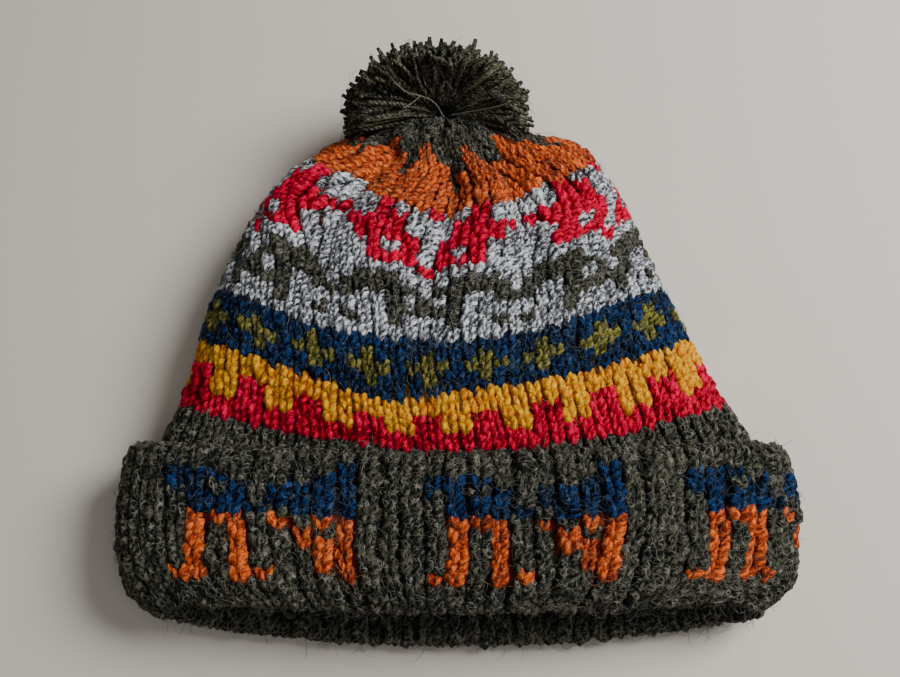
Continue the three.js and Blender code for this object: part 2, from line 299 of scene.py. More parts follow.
def unit(vectors: np.ndarray) -> np.ndarray:
    """Scales vectors along the last axis to length 1."""
    lengths = np.linalg.norm(vectors, axis=-1, keepdims=True)
    return vectors / np.maximum(lengths, 1e-9)


def rows_between(table: np.ndarray, place: float) -> np.ndarray:
    """Reads a table at a fractional row number along a smooth curve.

    Args:
        table: One row per section.
        place: The row number, clamped to the table.

    Returns:
        One row of values.
    """
    last = len(table) - 1
    at = min(max(place, 0.0), float(last))
    row = min(int(at), last - 1)
    t = at - row
    here, after = table[row], table[row + 1]
    before = table[row - 1] if row > 0 else 2 * here - after
    beyond = table[row + 2] if row + 2 <= last else 2 * after - here
    slope_here, slope_after = (after - before) / 2, (beyond - here) / 2
    return (
        here * (2 * t**3 - 3 * t**2 + 1)
        + slope_here * (t**3 - 2 * t**2 + t)
        + after * (3 * t**2 - 2 * t**3)
        + slope_after * (t**3 - t**2)
    )


def place_of_y(table: np.ndarray, y: float) -> float:
    """Finds the fractional row number at which the table's first column reaches y."""
    low, high = 0.0, float(len(table) - 1)
    for _ in range(HALVINGS):
        middle = (low + high) / 2
        if rows_between(table, middle)[0] < y:
            low = middle
        else:
            high = middle
    return (low + high) / 2


def round_points(section: np.ndarray, inset: float, columns: int) -> np.ndarray:
    """Draws one closed round, cut into equal lengths from underneath by +X over the top.

    Args:
        section: A row of a section table.
        inset: How far inside the outline it lies.
        columns: How many points it has.

    Returns:
        Points of shape (columns, 3).
    """
    y, half, crest, edge, base, sag, rake, lean = section
    rise = max(crest - inset - edge, LEAST_HEIGHT)
    drop = max(edge - base - inset, LEAST_HEIGHT)
    angle = np.linspace(-math.pi / 2, 1.5 * math.pi, ROUND_SAMPLES)
    c, s = np.cos(angle), np.sin(angle)
    power = np.where(s > 0, TOP_POWER, FLOOR_POWER)
    height = np.where(s > 0, rise, drop)
    x = (half - inset) * np.sign(c) * np.abs(c) ** (2 / power)
    z = edge + height * np.sign(s) * np.abs(s) ** (2 / power)
    steps = np.hypot(np.diff(x), np.diff(z))
    lengths = np.concatenate([[0.0], np.cumsum(steps)])
    want = lengths[-1] * np.arange(columns) / columns
    x, z = np.interp(want, lengths, x), np.interp(want, lengths, z)
    raised = np.maximum((z - edge) / rise, 0)
    return np.stack([x + lean, y + sag * (x / half) ** 2 + rake * raised, z], axis=-1)


def pressed(points: np.ndarray, section: np.ndarray, depth: np.ndarray) -> np.ndarray:
    """Presses a round in towards its middle and keeps it above the floor.

    Args:
        points: The round.
        section: Its row of the section table.
        depth: How far each point moves inwards.

    Returns:
        The moved points.
    """
    middle = points.copy()
    middle[:, 0] = section[Column.LEAN]
    middle[:, 2] = section[Column.EDGE]
    found = points + unit(middle - points) * depth[:, None]
    found[:, 2] = np.maximum(found[:, 2], 0)
    return found


@dataclass
class KnitSurface:
    """A knitted face that is read at a turn round the hat and a distance along its top.

    Args:
        grid: Points of shape (steps, columns, 3).
        flip: 1 or -1, so that the directions point out of the face.
        normals: The outward direction at each point.
        lengths: The distance along the top of each step.
    """

    grid: np.ndarray
    flip: float = 1.0
    normals: np.ndarray = field(init=False)
    lengths: np.ndarray = field(init=False)

    def __post_init__(self) -> None:
        """Works out the outward directions and the distances along the top."""
        along = np.gradient(self.grid, axis=0)
        across = np.roll(self.grid, -1, axis=1) - np.roll(self.grid, 1, axis=1)
        self.normals = unit(np.cross(along, across)) * self.flip
        top = self.grid[:, self.grid.shape[1] // 2]
        steps = np.linalg.norm(np.diff(top, axis=0), axis=-1)
        self.lengths = np.concatenate([[0.0], np.cumsum(steps)])

    @property
    def length(self) -> float:
        """The whole distance along the top."""
        return float(self.lengths[-1])

    def at(self, turns: np.ndarray, distances: np.ndarray) -> tuple[np.ndarray, np.ndarray]:
        """Reads points and outward directions.

        Args:
            turns: Places round the hat, 0 underneath and 0.5 on top.
            distances: Distances along the top, in the same shape.

        Returns:
            Points and directions, each with one more axis of 3.
        """
        steps, columns = self.grid.shape[:2]
        level = np.interp(distances, self.lengths, np.arange(steps))
        low = np.clip(level.astype(int), 0, steps - 2)
        up = (level - low)[..., None]
        column = (turns % 1.0) * columns
        left = column.astype(int) % columns
        right = (left + 1) % columns
        over = (column - column.astype(int))[..., None]
        found = []
        for source in (self.grid, self.normals):
            first = source[low, left] * (1 - over) + source[low, right] * over
            second = source[low + 1, left] * (1 - over) + source[low + 1, right] * over
            found.append(first * (1 - up) + second * up)
        return found[0], unit(found[1])

    def width_at(self, turns: np.ndarray, distances: np.ndarray) -> np.ndarray:
        """The length of a whole round as measured at each place."""
        step = 0.002
        before, _ = self.at(turns - step, distances)
        after, _ = self.at(turns + step, distances)
        return np.linalg.norm(after - before, axis=-1) / (2 * step)


@dataclass(frozen=True)
class LyingForm:
    """The lying hat's outer faces, from the same tables as the solids.

    Args:
        columns: How many points a round has.
        crown_steps: How many rounds the crown has.
        cuff_steps: How many rounds the cuff has.
        ribs: How many grooves run round the cuff, between pairs of stitch columns.
        relief: How deep they are.
        groove: Their half width, as a share of a rib.
        first_groove: The turn at which one of them lies.
        lip: Depths of the cuff's path between which its face becomes its inner layer.
        rising: Heights over the floor between which the grooves reach their depth.
        first_ribbed: The place on the path from which they show.
    """

    columns: int = 576
    crown_steps: int = 240
    cuff_steps: int = 150
    ribs: int = 36
    relief: float = 1.3
    groove: float = 0.13
    first_groove: float = 0.5 - 1 / 144
    lip: tuple[float, float] = (3.0, 8.2)
    rising: tuple[float, float] = (1.5, 5.0)
    first_ribbed: float = 2.2

    def joint(self) -> np.ndarray:
        """The crown's first section, level with the inner layer of the cuff."""
        table = np.array(CUFF_SECTIONS)
        section = rows_between(table, place_of_y(table, JOINT_Y)).copy()
        inset = CUFF_LAYER + CUFF_LAYER_GAP
        section[Column.SAG] *= (1 - inset / section[Column.HALF_WIDTH]) ** 2
        section[Column.HALF_WIDTH] -= inset
        section[Column.CREST] -= inset
        section[Column.BASE] += inset
        return section

    def crown(self) -> KnitSurface:
        """The crown from the joint to the gathered top, with its folds."""
        table = np.vstack([self.joint(), np.array(CROWN_SECTIONS)])
        turns = np.arange(self.columns) / self.columns
        rounds = []
        for place in np.linspace(0, len(table) - 1, self.crown_steps):
            section = rows_between(table, place)
            points = round_points(section, 0.0, self.columns)
            rounds.append(pressed(points, section, self.fold_depth(turns, place)))
        return KnitSurface(np.array(rounds))

    def fold_depth(self, turns: np.ndarray, place: float) -> np.ndarray:
        """How far the crown's face sinks.

        Args:
            turns: Places round the hat.
            place: The section number.

        Returns:
            A depth for each place, with ridges negative.
        """
        depth = np.zeros_like(turns)
        for turn, drift, deep, width, start, full, fade, end in CROWN_FOLDS:
            along = np.clip((place - start) / (end - start), 0, 1)
            away = (turns - turn - drift * along) / width
            swell = smooth_step(place, start, full) * (1 - smooth_step(place, fade, end))
            depth += deep * np.exp(-away * away) * swell
        count, deep, start, full, fade, end = GATHERS
        swell = smooth_step(place, start, full) * (1 - smooth_step(place, fade, end))
        return depth + deep * np.cos(2 * math.pi * count * turns) * swell

    def cuff(self) -> KnitSurface:
        """The cuff along its path, from inside its top edge over the lip to the joint, with ribs."""
        path, sections = np.array(CUFF_PATH), np.array(CUFF_SECTIONS)
        phase = ((np.arange(self.columns) / self.columns - self.first_groove) * self.ribs) % 1.0
        groove = np.exp(-((np.minimum(phase, 1 - phase) / self.groove) ** 2))
        rounds = []
        for place in np.linspace(0, len(path) - 1, self.cuff_steps):
            y, depth = rows_between(path, place)
            section = rows_between(sections, place_of_y(sections, y)).copy()
            section[Column.Y] = y
            points = round_points(section, depth, self.columns)
            side = 1.0 - smooth_step(depth, *self.lip) * 2.0
            free = smooth_step(points[:, 2], *self.rising) * (place > self.first_ribbed)
            rounds.append(pressed(points, section, self.relief * side * groove * free))
        return KnitSurface(np.array(rounds), flip=-1.0)


@dataclass
class StrandMesh:
    """Closed tubes of yarn gathered into one mesh.

    Args:
        sides: How many sides each tube has.
        variety: How far apart two tubes of nearly the same tone lie in the yarn's pattern.
        points: The vertices of each lot of tubes, in millimetres.
        fibres: For each vertex, its distance along the tube, its angle and the tube's number.
        tones: For each vertex, the shade of its tube.
        hairs: For each vertex, 1 on a loose fibre and 0 on yarn.
        quads: The faces along the tubes.
        caps: The triangles that close their ends.
        count: How many vertices there are.
    """

    sides: int = 5
    variety: float = 37.0
    points: list[np.ndarray] = field(default_factory=list)
    fibres: list[np.ndarray] = field(default_factory=list)
    tones: list[np.ndarray] = field(default_factory=list)
    hairs: list[np.ndarray] = field(default_factory=list)
    quads: list[np.ndarray] = field(default_factory=list)
    caps: list[np.ndarray] = field(default_factory=list)
    count: int = 0

    def add(
        self,
        centres: np.ndarray,
        radii: np.ndarray,
        outward: np.ndarray,
        tone: np.ndarray,
        hair: float = 0.0,
    ) -> None:
        """Adds tubes.

        Args:
            centres: Centre lines, of shape (tubes, rings, 3), in millimetres.
            radii: Of shape (tubes, rings).
            outward: Directions away from the knit, in the shape of centres.
            tone: A shade for each tube, about 0.
            hair: 1 for loose fibres, and 0 for yarn.
        """
        if len(centres) == 0:
            return
        sides = self.sides
        tubes, rings = centres.shape[:2]
        along = unit(np.gradient(centres, axis=1))
        side = unit(np.cross(along, outward))
        out = np.cross(side, along)
        angles = -math.pi / 2 + (np.arange(sides) + 0.5) * 2 * math.pi / sides
        spokes = (
            np.cos(angles)[None, None, :, None] * side[:, :, None]
            + np.sin(angles)[None, None, :, None] * out[:, :, None]
        )
        points = centres[:, :, None] + spokes * radii[:, :, None, None]
        moved = np.linalg.norm(np.diff(centres, axis=1), axis=-1)
        length = np.concatenate([np.zeros((tubes, 1)), np.cumsum(moved, axis=1)], axis=1)
        shape = (tubes, rings, sides)
        fibre = np.stack(
            [
                np.broadcast_to(length[:, :, None], shape),
                np.broadcast_to(angles[None, None], shape),
                np.broadcast_to((tone * self.variety)[:, None, None], shape),
            ],
            axis=-1,
        )
        base = self.count + np.arange(tubes)[:, None, None] * rings * sides
        ring = np.arange(rings - 1)[None, :, None] * sides
        corner = np.arange(sides)[None, None, :]
        after = (corner + 1) % sides
        quad = np.stack(
            [
                base + ring + corner,
                base + ring + after,
                base + ring + sides + after,
                base + ring + sides + corner,
            ],
            axis=-1,
        )
        fan = np.arange(1, sides - 1)
        first = np.stack([np.zeros_like(fan), fan + 1, fan], axis=-1)
        last = np.stack([np.zeros_like(fan), fan, fan + 1], axis=-1) + (rings - 1) * sides
        cap = np.concatenate([first, last])[None] + base
        self.points.append(points.reshape(-1, 3))
        self.fibres.append(fibre.reshape(-1, 3))
        self.tones.append(np.repeat(tone, rings * sides))
        self.hairs.append(np.full(tubes * rings * sides, hair))
        self.quads.append(quad.reshape(-1, 4))
        self.caps.append(cap.reshape(-1, 3))
        self.count += tubes * rings * sides

    def build(self, name: str, material: bpy.types.Material) -> bpy.types.Object:
        """Makes the mesh object, in metres.

        Args:
            name: The name of the piece.
            material: Its finish.

        Returns:
            The new object.
        """
        quads, caps = np.concatenate(self.quads), np.concatenate(self.caps)
        piece = mesh_object(name, np.concatenate(self.points), quads, caps, material)
        add_values(piece, "fibre", np.concatenate(self.fibres))
        add_values(piece, "tone", np.concatenate(self.tones))
        add_values(piece, "hair", np.concatenate(self.hairs))
        return piece


def mesh_object(
    name: str,
    points: np.ndarray,
    quads: np.ndarray,
    triangles: np.ndarray,
    material: bpy.types.Material,
) -> bpy.types.Object:
    """Makes a smooth mesh object from arrays.

    Args:
        name: The name of the object.
        points: Its vertices in millimetres.
        quads: Four vertex numbers per face.
        triangles: Three vertex numbers per face.
        material: Its finish.

    Returns:
        The new object, in metres, in the scene.
    """
    mesh = bpy.data.meshes.new(name)
    mesh.vertices.add(len(points))
    mesh.vertices.foreach_set("co", (points * MM).astype(np.float32).ravel())
    corners = np.concatenate([quads.ravel(), triangles.ravel()]).astype(np.int32)
    four = np.arange(len(quads)) * 4
    three = len(quads) * 4 + np.arange(len(triangles)) * 3
    starts = np.concatenate([four, three]).astype(np.int32)
    mesh.loops.add(len(corners))
    mesh.loops.foreach_set("vertex_index", corners)
    mesh.polygons.add(len(starts))
    mesh.polygons.foreach_set("loop_start", starts)
    mesh.polygons.foreach_set("use_smooth", np.ones(len(starts), bool))
    mesh.update(calc_edges=True)
    mesh.materials.append(material)
    piece = bpy.data.objects.new(name, mesh)
    bpy.context.scene.collection.objects.link(piece)
    return piece


def add_values(piece: bpy.types.Object, name: str, values: np.ndarray) -> None:
    """Stores a number or a vector for each vertex of a piece."""
    kind, key = ("FLOAT_VECTOR", "vector") if values.ndim == 2 else ("FLOAT", "value")
    store = piece.data.attributes.new(name, kind, "POINT")
    store.data.foreach_set(key, values.astype(np.float32).ravel())


@dataclass(frozen=True)
class Value:
    """A number, colour or vector in a shader, worked out with Python's own signs.

    Args:
        tree: The nodes that it is part of.
        socket: The output that gives it.
    """

    tree: bpy.types.NodeTree
    socket: bpy.types.NodeSocket

    def maths(self, operation: str, *others: "Value | float", swap: bool = False) -> "Value":
        """Adds one step of arithmetic.

        Args:
            operation: The name of the step.
            others: Its other inputs.
            swap: Whether this value comes second.

        Returns:
            The result.
        """
        node = self.tree.nodes.new("ShaderNodeMath")
        node.operation = operation
        inputs = [*others, self] if swap else [self, *others]
        for socket, source in zip(node.inputs, inputs):
            if isinstance(source, Value):
                self.tree.links.new(source.socket, socket)
            else:
                socket.default_value = source
        return Value(self.tree, node.outputs[0])

    def __add__(self, other: "Value | float") -> "Value":
        """Sum."""
        return self.maths("ADD", other)

    def __radd__(self, other: float) -> "Value":
        """Sum, the other way round."""
        return self.maths("ADD", other, swap=True)

    def __sub__(self, other: "Value | float") -> "Value":
        """Difference."""
        return self.maths("SUBTRACT", other)

    def __rsub__(self, other: float) -> "Value":
        """Difference, the other way round."""
        return self.maths("SUBTRACT", other, swap=True)

    def __mul__(self, other: "Value | float") -> "Value":
        """Product."""
        return self.maths("MULTIPLY", other)

    def __rmul__(self, other: float) -> "Value":
        """Product, the other way round."""
        return self.maths("MULTIPLY", other, swap=True)

    def __truediv__(self, other: "Value | float") -> "Value":
        """Quotient."""
        return self.maths("DIVIDE", other)

    def __rtruediv__(self, other: float) -> "Value":
        """Quotient, the other way round."""
        return self.maths("DIVIDE", other, swap=True)

    def sine(self) -> "Value":
        """Sine of an angle in radians."""
        return self.maths("SINE")

    def kept(self, low: float, high: float) -> "Value":
        """Kept between two numbers."""
        return self.maths("MAXIMUM", low).maths("MINIMUM", high)


@dataclass
class ShaderSheet:
    """The nodes of one material.

    Args:
        name: The material's name.
        material: The material.
        surface: Its surface shader.
    """

    name: str
    material: bpy.types.Material = field(init=False)
    surface: bpy.types.Node = field(init=False)

    def __post_init__(self) -> None:
        """Starts the material with its surface shader."""
        self.material = bpy.data.materials.new(self.name)
        self.material.use_nodes = True
        self.surface = self.material.node_tree.nodes["Principled BSDF"]

    def node(self, kind: str, settings: dict[str, object], **inputs: object) -> bpy.types.Node:
        """Adds a node.

        Args:
            kind: The node's type.
            settings: Its own options.
            inputs: Values or links for its sockets, with spaces written as underscores.

        Returns:
            The node.
        """
        tree = self.material.node_tree
        node = tree.nodes.new(kind)
        for key, value in settings.items():
            setattr(node, key, value)
        for key, value in inputs.items():
            socket = node.inputs[key.replace("_", " ")]
            if isinstance(value, Value):
                tree.links.new(value.socket, socket)
            else:
                socket.default_value = value
        return node

    def out(self, node: bpy.types.Node, name: str) -> Value:
        """An output of a node, as a value."""
        return Value(self.material.node_tree, node.outputs[name])

    def stored(self, name: str, part: str = "Fac") -> Value:
        """What a mesh stores under a name."""
        node = self.node("ShaderNodeAttribute", {"attribute_name": name})
        return self.out(node, part)

    def parts(self, vector: Value) -> list[Value]:
        """The three numbers in a vector."""
        node = self.node("ShaderNodeSeparateXYZ", {}, Vector=vector)
        return [self.out(node, axis) for axis in "XYZ"]

    def vector(self, x: Value | float, y: Value | float, z: Value | float) -> Value:
        """A vector of three numbers."""
        return self.out(self.node("ShaderNodeCombineXYZ", {}, X=x, Y=y, Z=z), "Vector")

    def noise(self, place: Value, scale: float, detail: float = 2.0) -> Value:
        """Soft noise about one half."""
        node = self.node("ShaderNodeTexNoise", {}, Vector=place, Scale=scale, Detail=detail)
        return self.out(node, "Fac")

    def place(self) -> Value:
        """Places in the object's own frame."""
        return self.out(self.node("ShaderNodeTexCoord", {}), "Object")

    def blend(self, share: Value | float, first: object, second: object) -> Value:
        """Goes from one colour to another.

        Args:
            share: 0 for the first, 1 for the second.
            first: A colour or a link.
            second: A colour or a link.

        Returns:
            The colour between.
        """
        tree = self.material.node_tree
        node = tree.nodes.new("ShaderNodeMix")
        node.data_type = "RGBA"
        sockets = (node.inputs[0], node.inputs[6], node.inputs[7])
        for socket, source in zip(sockets, (share, first, second)):
            if isinstance(source, Value):
                tree.links.new(source.socket, socket)
            elif isinstance(source, (int, float)):
                socket.default_value = source
            else:
                socket.default_value = (*source, 1.0)
        return Value(tree, node.outputs[2])

    def finish(self, colour: Value, roughness: Value | float, height: Value, depth: float) -> None:
        """Links the surface.

        Args:
            colour: The base colour.
            roughness: How dull it is.
            height: Relief from 0 to 1.
            depth: How deep the relief is, in metres.
        """
        tree = self.material.node_tree
        tree.links.new(colour.socket, self.surface.inputs["Base Color"])
        if isinstance(roughness, Value):
            tree.links.new(roughness.socket, self.surface.inputs["Roughness"])
        else:
            self.surface.inputs["Roughness"].default_value = roughness
        bump = self.node("ShaderNodeBump", {}, Height=height, Strength=1.0, Distance=depth)
        tree.links.new(bump.outputs["Normal"], self.surface.inputs["Normal"])


@dataclass(frozen=True)
class YarnPattern:
    """How twisted yarn is shaded and raised, the same for every colour.

    Args:
        twist: How far its plies turn in a millimetre, in radians.
        plies: How many it has.
        fibre_lay: How fast the fine fibres' shade changes along the yarn and across the twist.
        fibre_scale: How fine they are.
        fleck_lay: How fast the flecks change along the yarn, around it and between strands.
        fleck_scale: How fine they are.
        broad_scale: How fine the shading over the whole hat is.
        grain_scale: How fine the grain is.
        by_fibre: How strongly the fine fibres lighten the yarn.
        by_grain: How strongly the grain does.
        by_ply: How strongly the plies do, as painted shade in the grooves between them and painted light
            on their crowns.
        by_fleck: How strongly the flecks do.
        by_tone: How strongly each strand's own tone does.
        by_place: How strongly the shading over the whole hat does.
        side_painted_shade: How strongly each strand is painted lighter on the side that faces out of the
            knit and darker on its sides and underneath, as painted shade.
        level: How light it is to begin with.
        strays: Scales and widths of the stray lines.
        raised: How high the plies, fine fibres, grain and stray lines stand.
        depth: How deep the relief is, in metres.
        sheen: The sheen, as a share of the gloss.
    """

    twist: float = 0.9
    plies: float = 3.0
    fibre_lay: tuple[float, float] = (0.32, 1.3)
    fibre_scale: float = 3.0
    fleck_lay: tuple[float, float, float] = (0.3, 0.5, 1.7)
    fleck_scale: float = 1.9
    broad_scale: float = 55.0
    grain_scale: float = 1300.0
    by_fibre: float = 3.2
    by_grain: float = 1.8
    by_ply: float = 0.7
    by_fleck: float = 2.4
    by_tone: float = 0.5
    by_place: float = 0.9
    side_painted_shade: float = 0.4
    level: float = 0.18
    strays: tuple[tuple[float, float], ...] = ((230.0, 0.025), (420.0, 0.03))
    raised: tuple[float, float, float, float] = (0.5, 0.5, 0.4, 0.3)
    depth: float = 0.001
    sheen: float = 0.15


TWISTED = YarnPattern()


@dataclass(frozen=True)
class WoolFinish:
    """The look of one yarn.

    Args:
        yarn: Which yarn it is.
        deep: Its darkest shade, which also carries the painted shade on the strands' sides and in the
            grooves between plies.
        body: Its usual shade.
        light: Its light fibres, which also carry the painted light on the strands' outer sides and on
            the crowns of the plies.
        marl: How strongly the shades differ from place to place.
        hair: The colour of loose fibres and threads, paler than the yarn: partly their own colour,
            partly painted highlight for the light that thin fibres catch.
        roughness: How dull it is.
        fuzz: How strongly fine loose fibres show over it.
        gloss: How strongly it mirrors light.
    """

    yarn: Yarn
    deep: str
    body: str
    light: str
    marl: float
    hair: str
    roughness: float
    fuzz: float
    gloss: float

    def material(self) -> bpy.types.Material:
        """Makes the yarn's material.

        Returns:
            A material for meshes that store fibre, tone and hair.
        """
        sheet = ShaderSheet(self.yarn.value)
        along, around, number = sheet.parts(sheet.stored("fibre", "Vector"))
        tone = sheet.stored("tone")
        hair = sheet.stored("hair")
        turned = around + along * TWISTED.twist
        lay = [way * rate for way, rate in zip((along, turned), TWISTED.fibre_lay)]
        fine = sheet.noise(sheet.vector(*lay, number), TWISTED.fibre_scale)
        ply = (turned * TWISTED.plies).sine() * 0.5 + 0.5
        lay = [way * rate for way, rate in zip((along, around, number), TWISTED.fleck_lay)]
        flecks = sheet.noise(sheet.vector(*lay), TWISTED.fleck_scale, 1.0)
        broad = sheet.noise(sheet.place(), TWISTED.broad_scale)
        grain = sheet.noise(sheet.place(), TWISTED.grain_scale)
        small = (fine - 0.5) * TWISTED.by_fibre + (grain - 0.5) * TWISTED.by_grain
        # The plies paint shade into the grooves between them and light onto their crowns.
        small = (small + (ply - 0.5) * TWISTED.by_ply) * math.sqrt(self.marl)
        light = small + (flecks - 0.5) * (TWISTED.by_fleck * self.marl)
        light = light + tone * TWISTED.by_tone + (broad - 0.5) * TWISTED.by_place
        # Painted shade: each strand is painted lighter on the side that faces out of the knit and darker
        # on its sides and underneath.
        light = light + around.sine() * TWISTED.side_painted_shade + TWISTED.level
        dark_side = sheet.blend((light * 2.0).kept(0, 1), linear(self.deep), linear(self.body))
        colour = sheet.blend((light * 2.0 - 1.0).kept(0, 1), dark_side, linear(self.light))
        first, second = [self.stray_lines(sheet, *stray) for stray in TWISTED.strays]
        strays = first + second
        # Loose fibres, threads and stray lines take the paler hair colour: partly their own colour,
        # partly painted highlight where thin fibres catch the light.
        loose = (hair + strays.kept(0, 1) * self.fuzz).kept(0, 1)
        colour = sheet.blend(loose, colour, linear(self.hair))
        by_ply, by_fibre, by_grain, by_stray = TWISTED.raised
        height = ply * by_ply + fine * by_fibre + grain * by_grain + strays * by_stray
        sheet.finish(colour, self.roughness, height, TWISTED.depth)
        sheet.surface.inputs["Specular IOR Level"].default_value = self.gloss
        sheet.surface.inputs["Sheen Weight"].default_value = self.gloss * TWISTED.sheen
        return sheet.material

    def stray_lines(self, sheet: ShaderSheet, scale: float, width: float) -> Value:
        """Thin curling lines over the yarn, where soft noise crosses its middle.

        Args:
            sheet: The material's nodes.
            scale: How tightly the lines curl.
            width: How wide they are.

        Returns:
            1 on a line, and 0 away from it.
        """
        away = (sheet.noise(sheet.place(), scale, 0.5) - 0.5).maths("ABSOLUTE")
        return (1.0 - away / width).kept(0, 1)


FINISHES = [
    WoolFinish(Yarn.FOREST, "050603", "171910", "565547", 0.95, "b2b0a2", 0.9, 0.5, 0.18),
    WoolFinish(Yarn.GREY, "1e2023", "74777c", "f4f7fd", 1.15, "eef0f4", 0.9, 0.35, 0.25),
    WoolFinish(Yarn.CRIMSON, "6c000e", "d2002e", "fa004e", 0.6, "ff3a6a", 0.85, 0.12, 0.06),
    WoolFinish(Yarn.MUSTARD, "c06400", "ffa000", "ffc814", 0.6, "ffd860", 0.6, 0.25, 0.14),
    WoolFinish(Yarn.BLUE, "000106", "00102a", "0b386e", 0.8, "7c9ab6", 0.85, 0.25, 0.1),
    WoolFinish(Yarn.OLIVE, "1c1a04", "504e14", "948c3c", 0.65, "c4bf8c", 0.85, 0.35, 0.15),
    WoolFinish(Yarn.RUST, "641600", "ba3804", "fc7c2c", 0.7, "ffac78", 0.7, 0.25, 0.18),
    WoolFinish(Yarn.POMPOM, "050603", "2a2c1e", "838168", 0.95, "b2b09e", 0.9, 0.35, 0.18),
]


@dataclass(frozen=True)
class BackingFinish:
    """The look of the inside of the knit, in the colours of its rows darkened as painted shade, with
    near-black painted shade between its fibres.

    Args:
        name: The name of the material.
        fibre_gap_shade: The colour between its fibres, a near-black painted shade.
        fibre_gap_shading: How strongly that painted shade shows.
        roughness: How dull it is.
        grain_scale: How fine its grain is.
        raised: How high its stitches and its grain stand.
        depth: How deep the relief is, in metres.
    """

    name: str
    fibre_gap_shade: tuple[float, float, float] = (0.006, 0.006, 0.005)
    fibre_gap_shading: float = 0.6
    roughness: float = 0.95
    grain_scale: float = 900.0
    raised: tuple[float, float] = (0.4, 0.3)
    depth: float = 0.0008

    def material(self) -> bpy.types.Material:
        """Makes the material for a mesh that stores shade and cell."""
        sheet = ShaderSheet(self.name)
        shade = sheet.stored("shade", "Vector")
        across, along, _ = sheet.parts(sheet.stored("cell", "Vector"))
        fine = sheet.noise(sheet.place(), self.grain_scale, 3.0)
        # Near-black painted shade is blended in between the fibres by fine noise.
        colour = sheet.blend(fine * self.fibre_gap_shading, shade, self.fibre_gap_shade)
        bumps = (across * (2 * math.pi)).sine() * (along * (2 * math.pi)).sine()
        height = bumps * self.raised[0] + fine * self.raised[1] + 0.5
        sheet.finish(colour, self.roughness, height, self.depth)
        return sheet.material


def dress(piece: bpy.types.Object, node: str) -> None:
    """Parents a piece to the body's empty, hides the solid that it stands for and logs its faces."""
    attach(piece, BODY)
    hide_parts(node)
    LOG.info("%s: %d faces", piece.name, len(piece.data.polygons))


@dataclass(frozen=True)
class CurlyFibre:
    """A loose fibre that curls over a face.

    Args:
        length: Its usual length.
        thickness: Its radius.
        rings: How many points it has.
        lengths: Its least and greatest length, as shares of the usual one.
        bend: How much fibres differ in how far they bend, in radians.
        curl: How much they differ in how far their ends curl on, in radians.
        rise: How far over the face its middle stands, least and most.
        landing: How much of its arc is there, least and most, where 1 comes back to the face.
        root: How far over the face it starts.
        ends: How thick it is at its root and at its tip, as shares.
        toning: How much fibres differ in shade.
    """

    length: float
    thickness: float
    rings: int = 6
    lengths: tuple[float, float] = (0.5, 1.5)
    bend: float = 3.6
    curl: float = 0.9
    rise: tuple[float, float] = (0.2, 1.7)
    landing: tuple[float, float] = (0.5, 1.1)
    root: float = 0.2
    ends: tuple[float, float] = (0.3, 0.15)
    toning: float = 0.3

    def add_to(
        self,
        mesh: StrandMesh,
        points: np.ndarray,
        outward: np.ndarray,
        random: np.random.Generator,
    ) -> None:
        """Adds fibres to a mesh.

        Args:
            mesh: The mesh.
            points: Where they start.
            outward: Directions away from the face there.
            random: The source of differences.
        """
        number = len(points)
        helper = np.where(np.abs(outward[:, :1]) < 0.8, [[1.0, 0, 0]], [[0, 1.0, 0]])
        first = unit(np.cross(outward, helper))
        second = np.cross(outward, first)
        size = self.length * random.uniform(*self.lengths, (number, 1))
        heading = random.uniform(0, 2 * math.pi, (number, 1))
        bend = random.normal(0, self.bend, (number, 1))
        step = np.linspace(0, 1, self.rings)[None]
        angle = heading + bend * step + random.normal(0, self.curl, (number, 1)) * step**2
        pace = size / (self.rings - 1)
        east = np.cumsum(np.cos(angle) * pace, axis=1)
        north = np.cumsum(np.sin(angle) * pace, axis=1)
        top = random.uniform(*self.rise, (number, 1))
        arc = np.clip(step * random.uniform(*self.landing, (number, 1)), 0, 1)
        rise = top * np.sin(math.pi * arc) + self.root
        centres = (
            points[:, None]
            + first[:, None] * east[..., None]
            + second[:, None] * north[..., None]
            + outward[:, None] * rise[..., None]
        )
        centres[..., 2] = np.maximum(centres[..., 2], self.root)
        root, tip = self.ends
        taper = np.array([root, *[1.0] * (self.rings - 2), tip])
        radii = np.broadcast_to(self.thickness * taper, (number, self.rings))
        tone = random.normal(0, self.toning, number)
        mesh.add(centres, radii, np.broadcast_to(outward[:, None], centres.shape), tone, hair=1.0)


@dataclass(frozen=True)
class KnitRow:
    """One row of stitches on a face.

    Args:
        yarns: The yarn of each stitch, from underneath by +X over the top.
        start: The distance along the face at which the row starts.
        end: Where it ends.
    """

    yarns: list[Yarn]
    start: float
    end: float

    def turned(self) -> "KnitRow":
        """The row knitted the other way along the face."""
        return KnitRow(self.yarns, self.end, self.start)


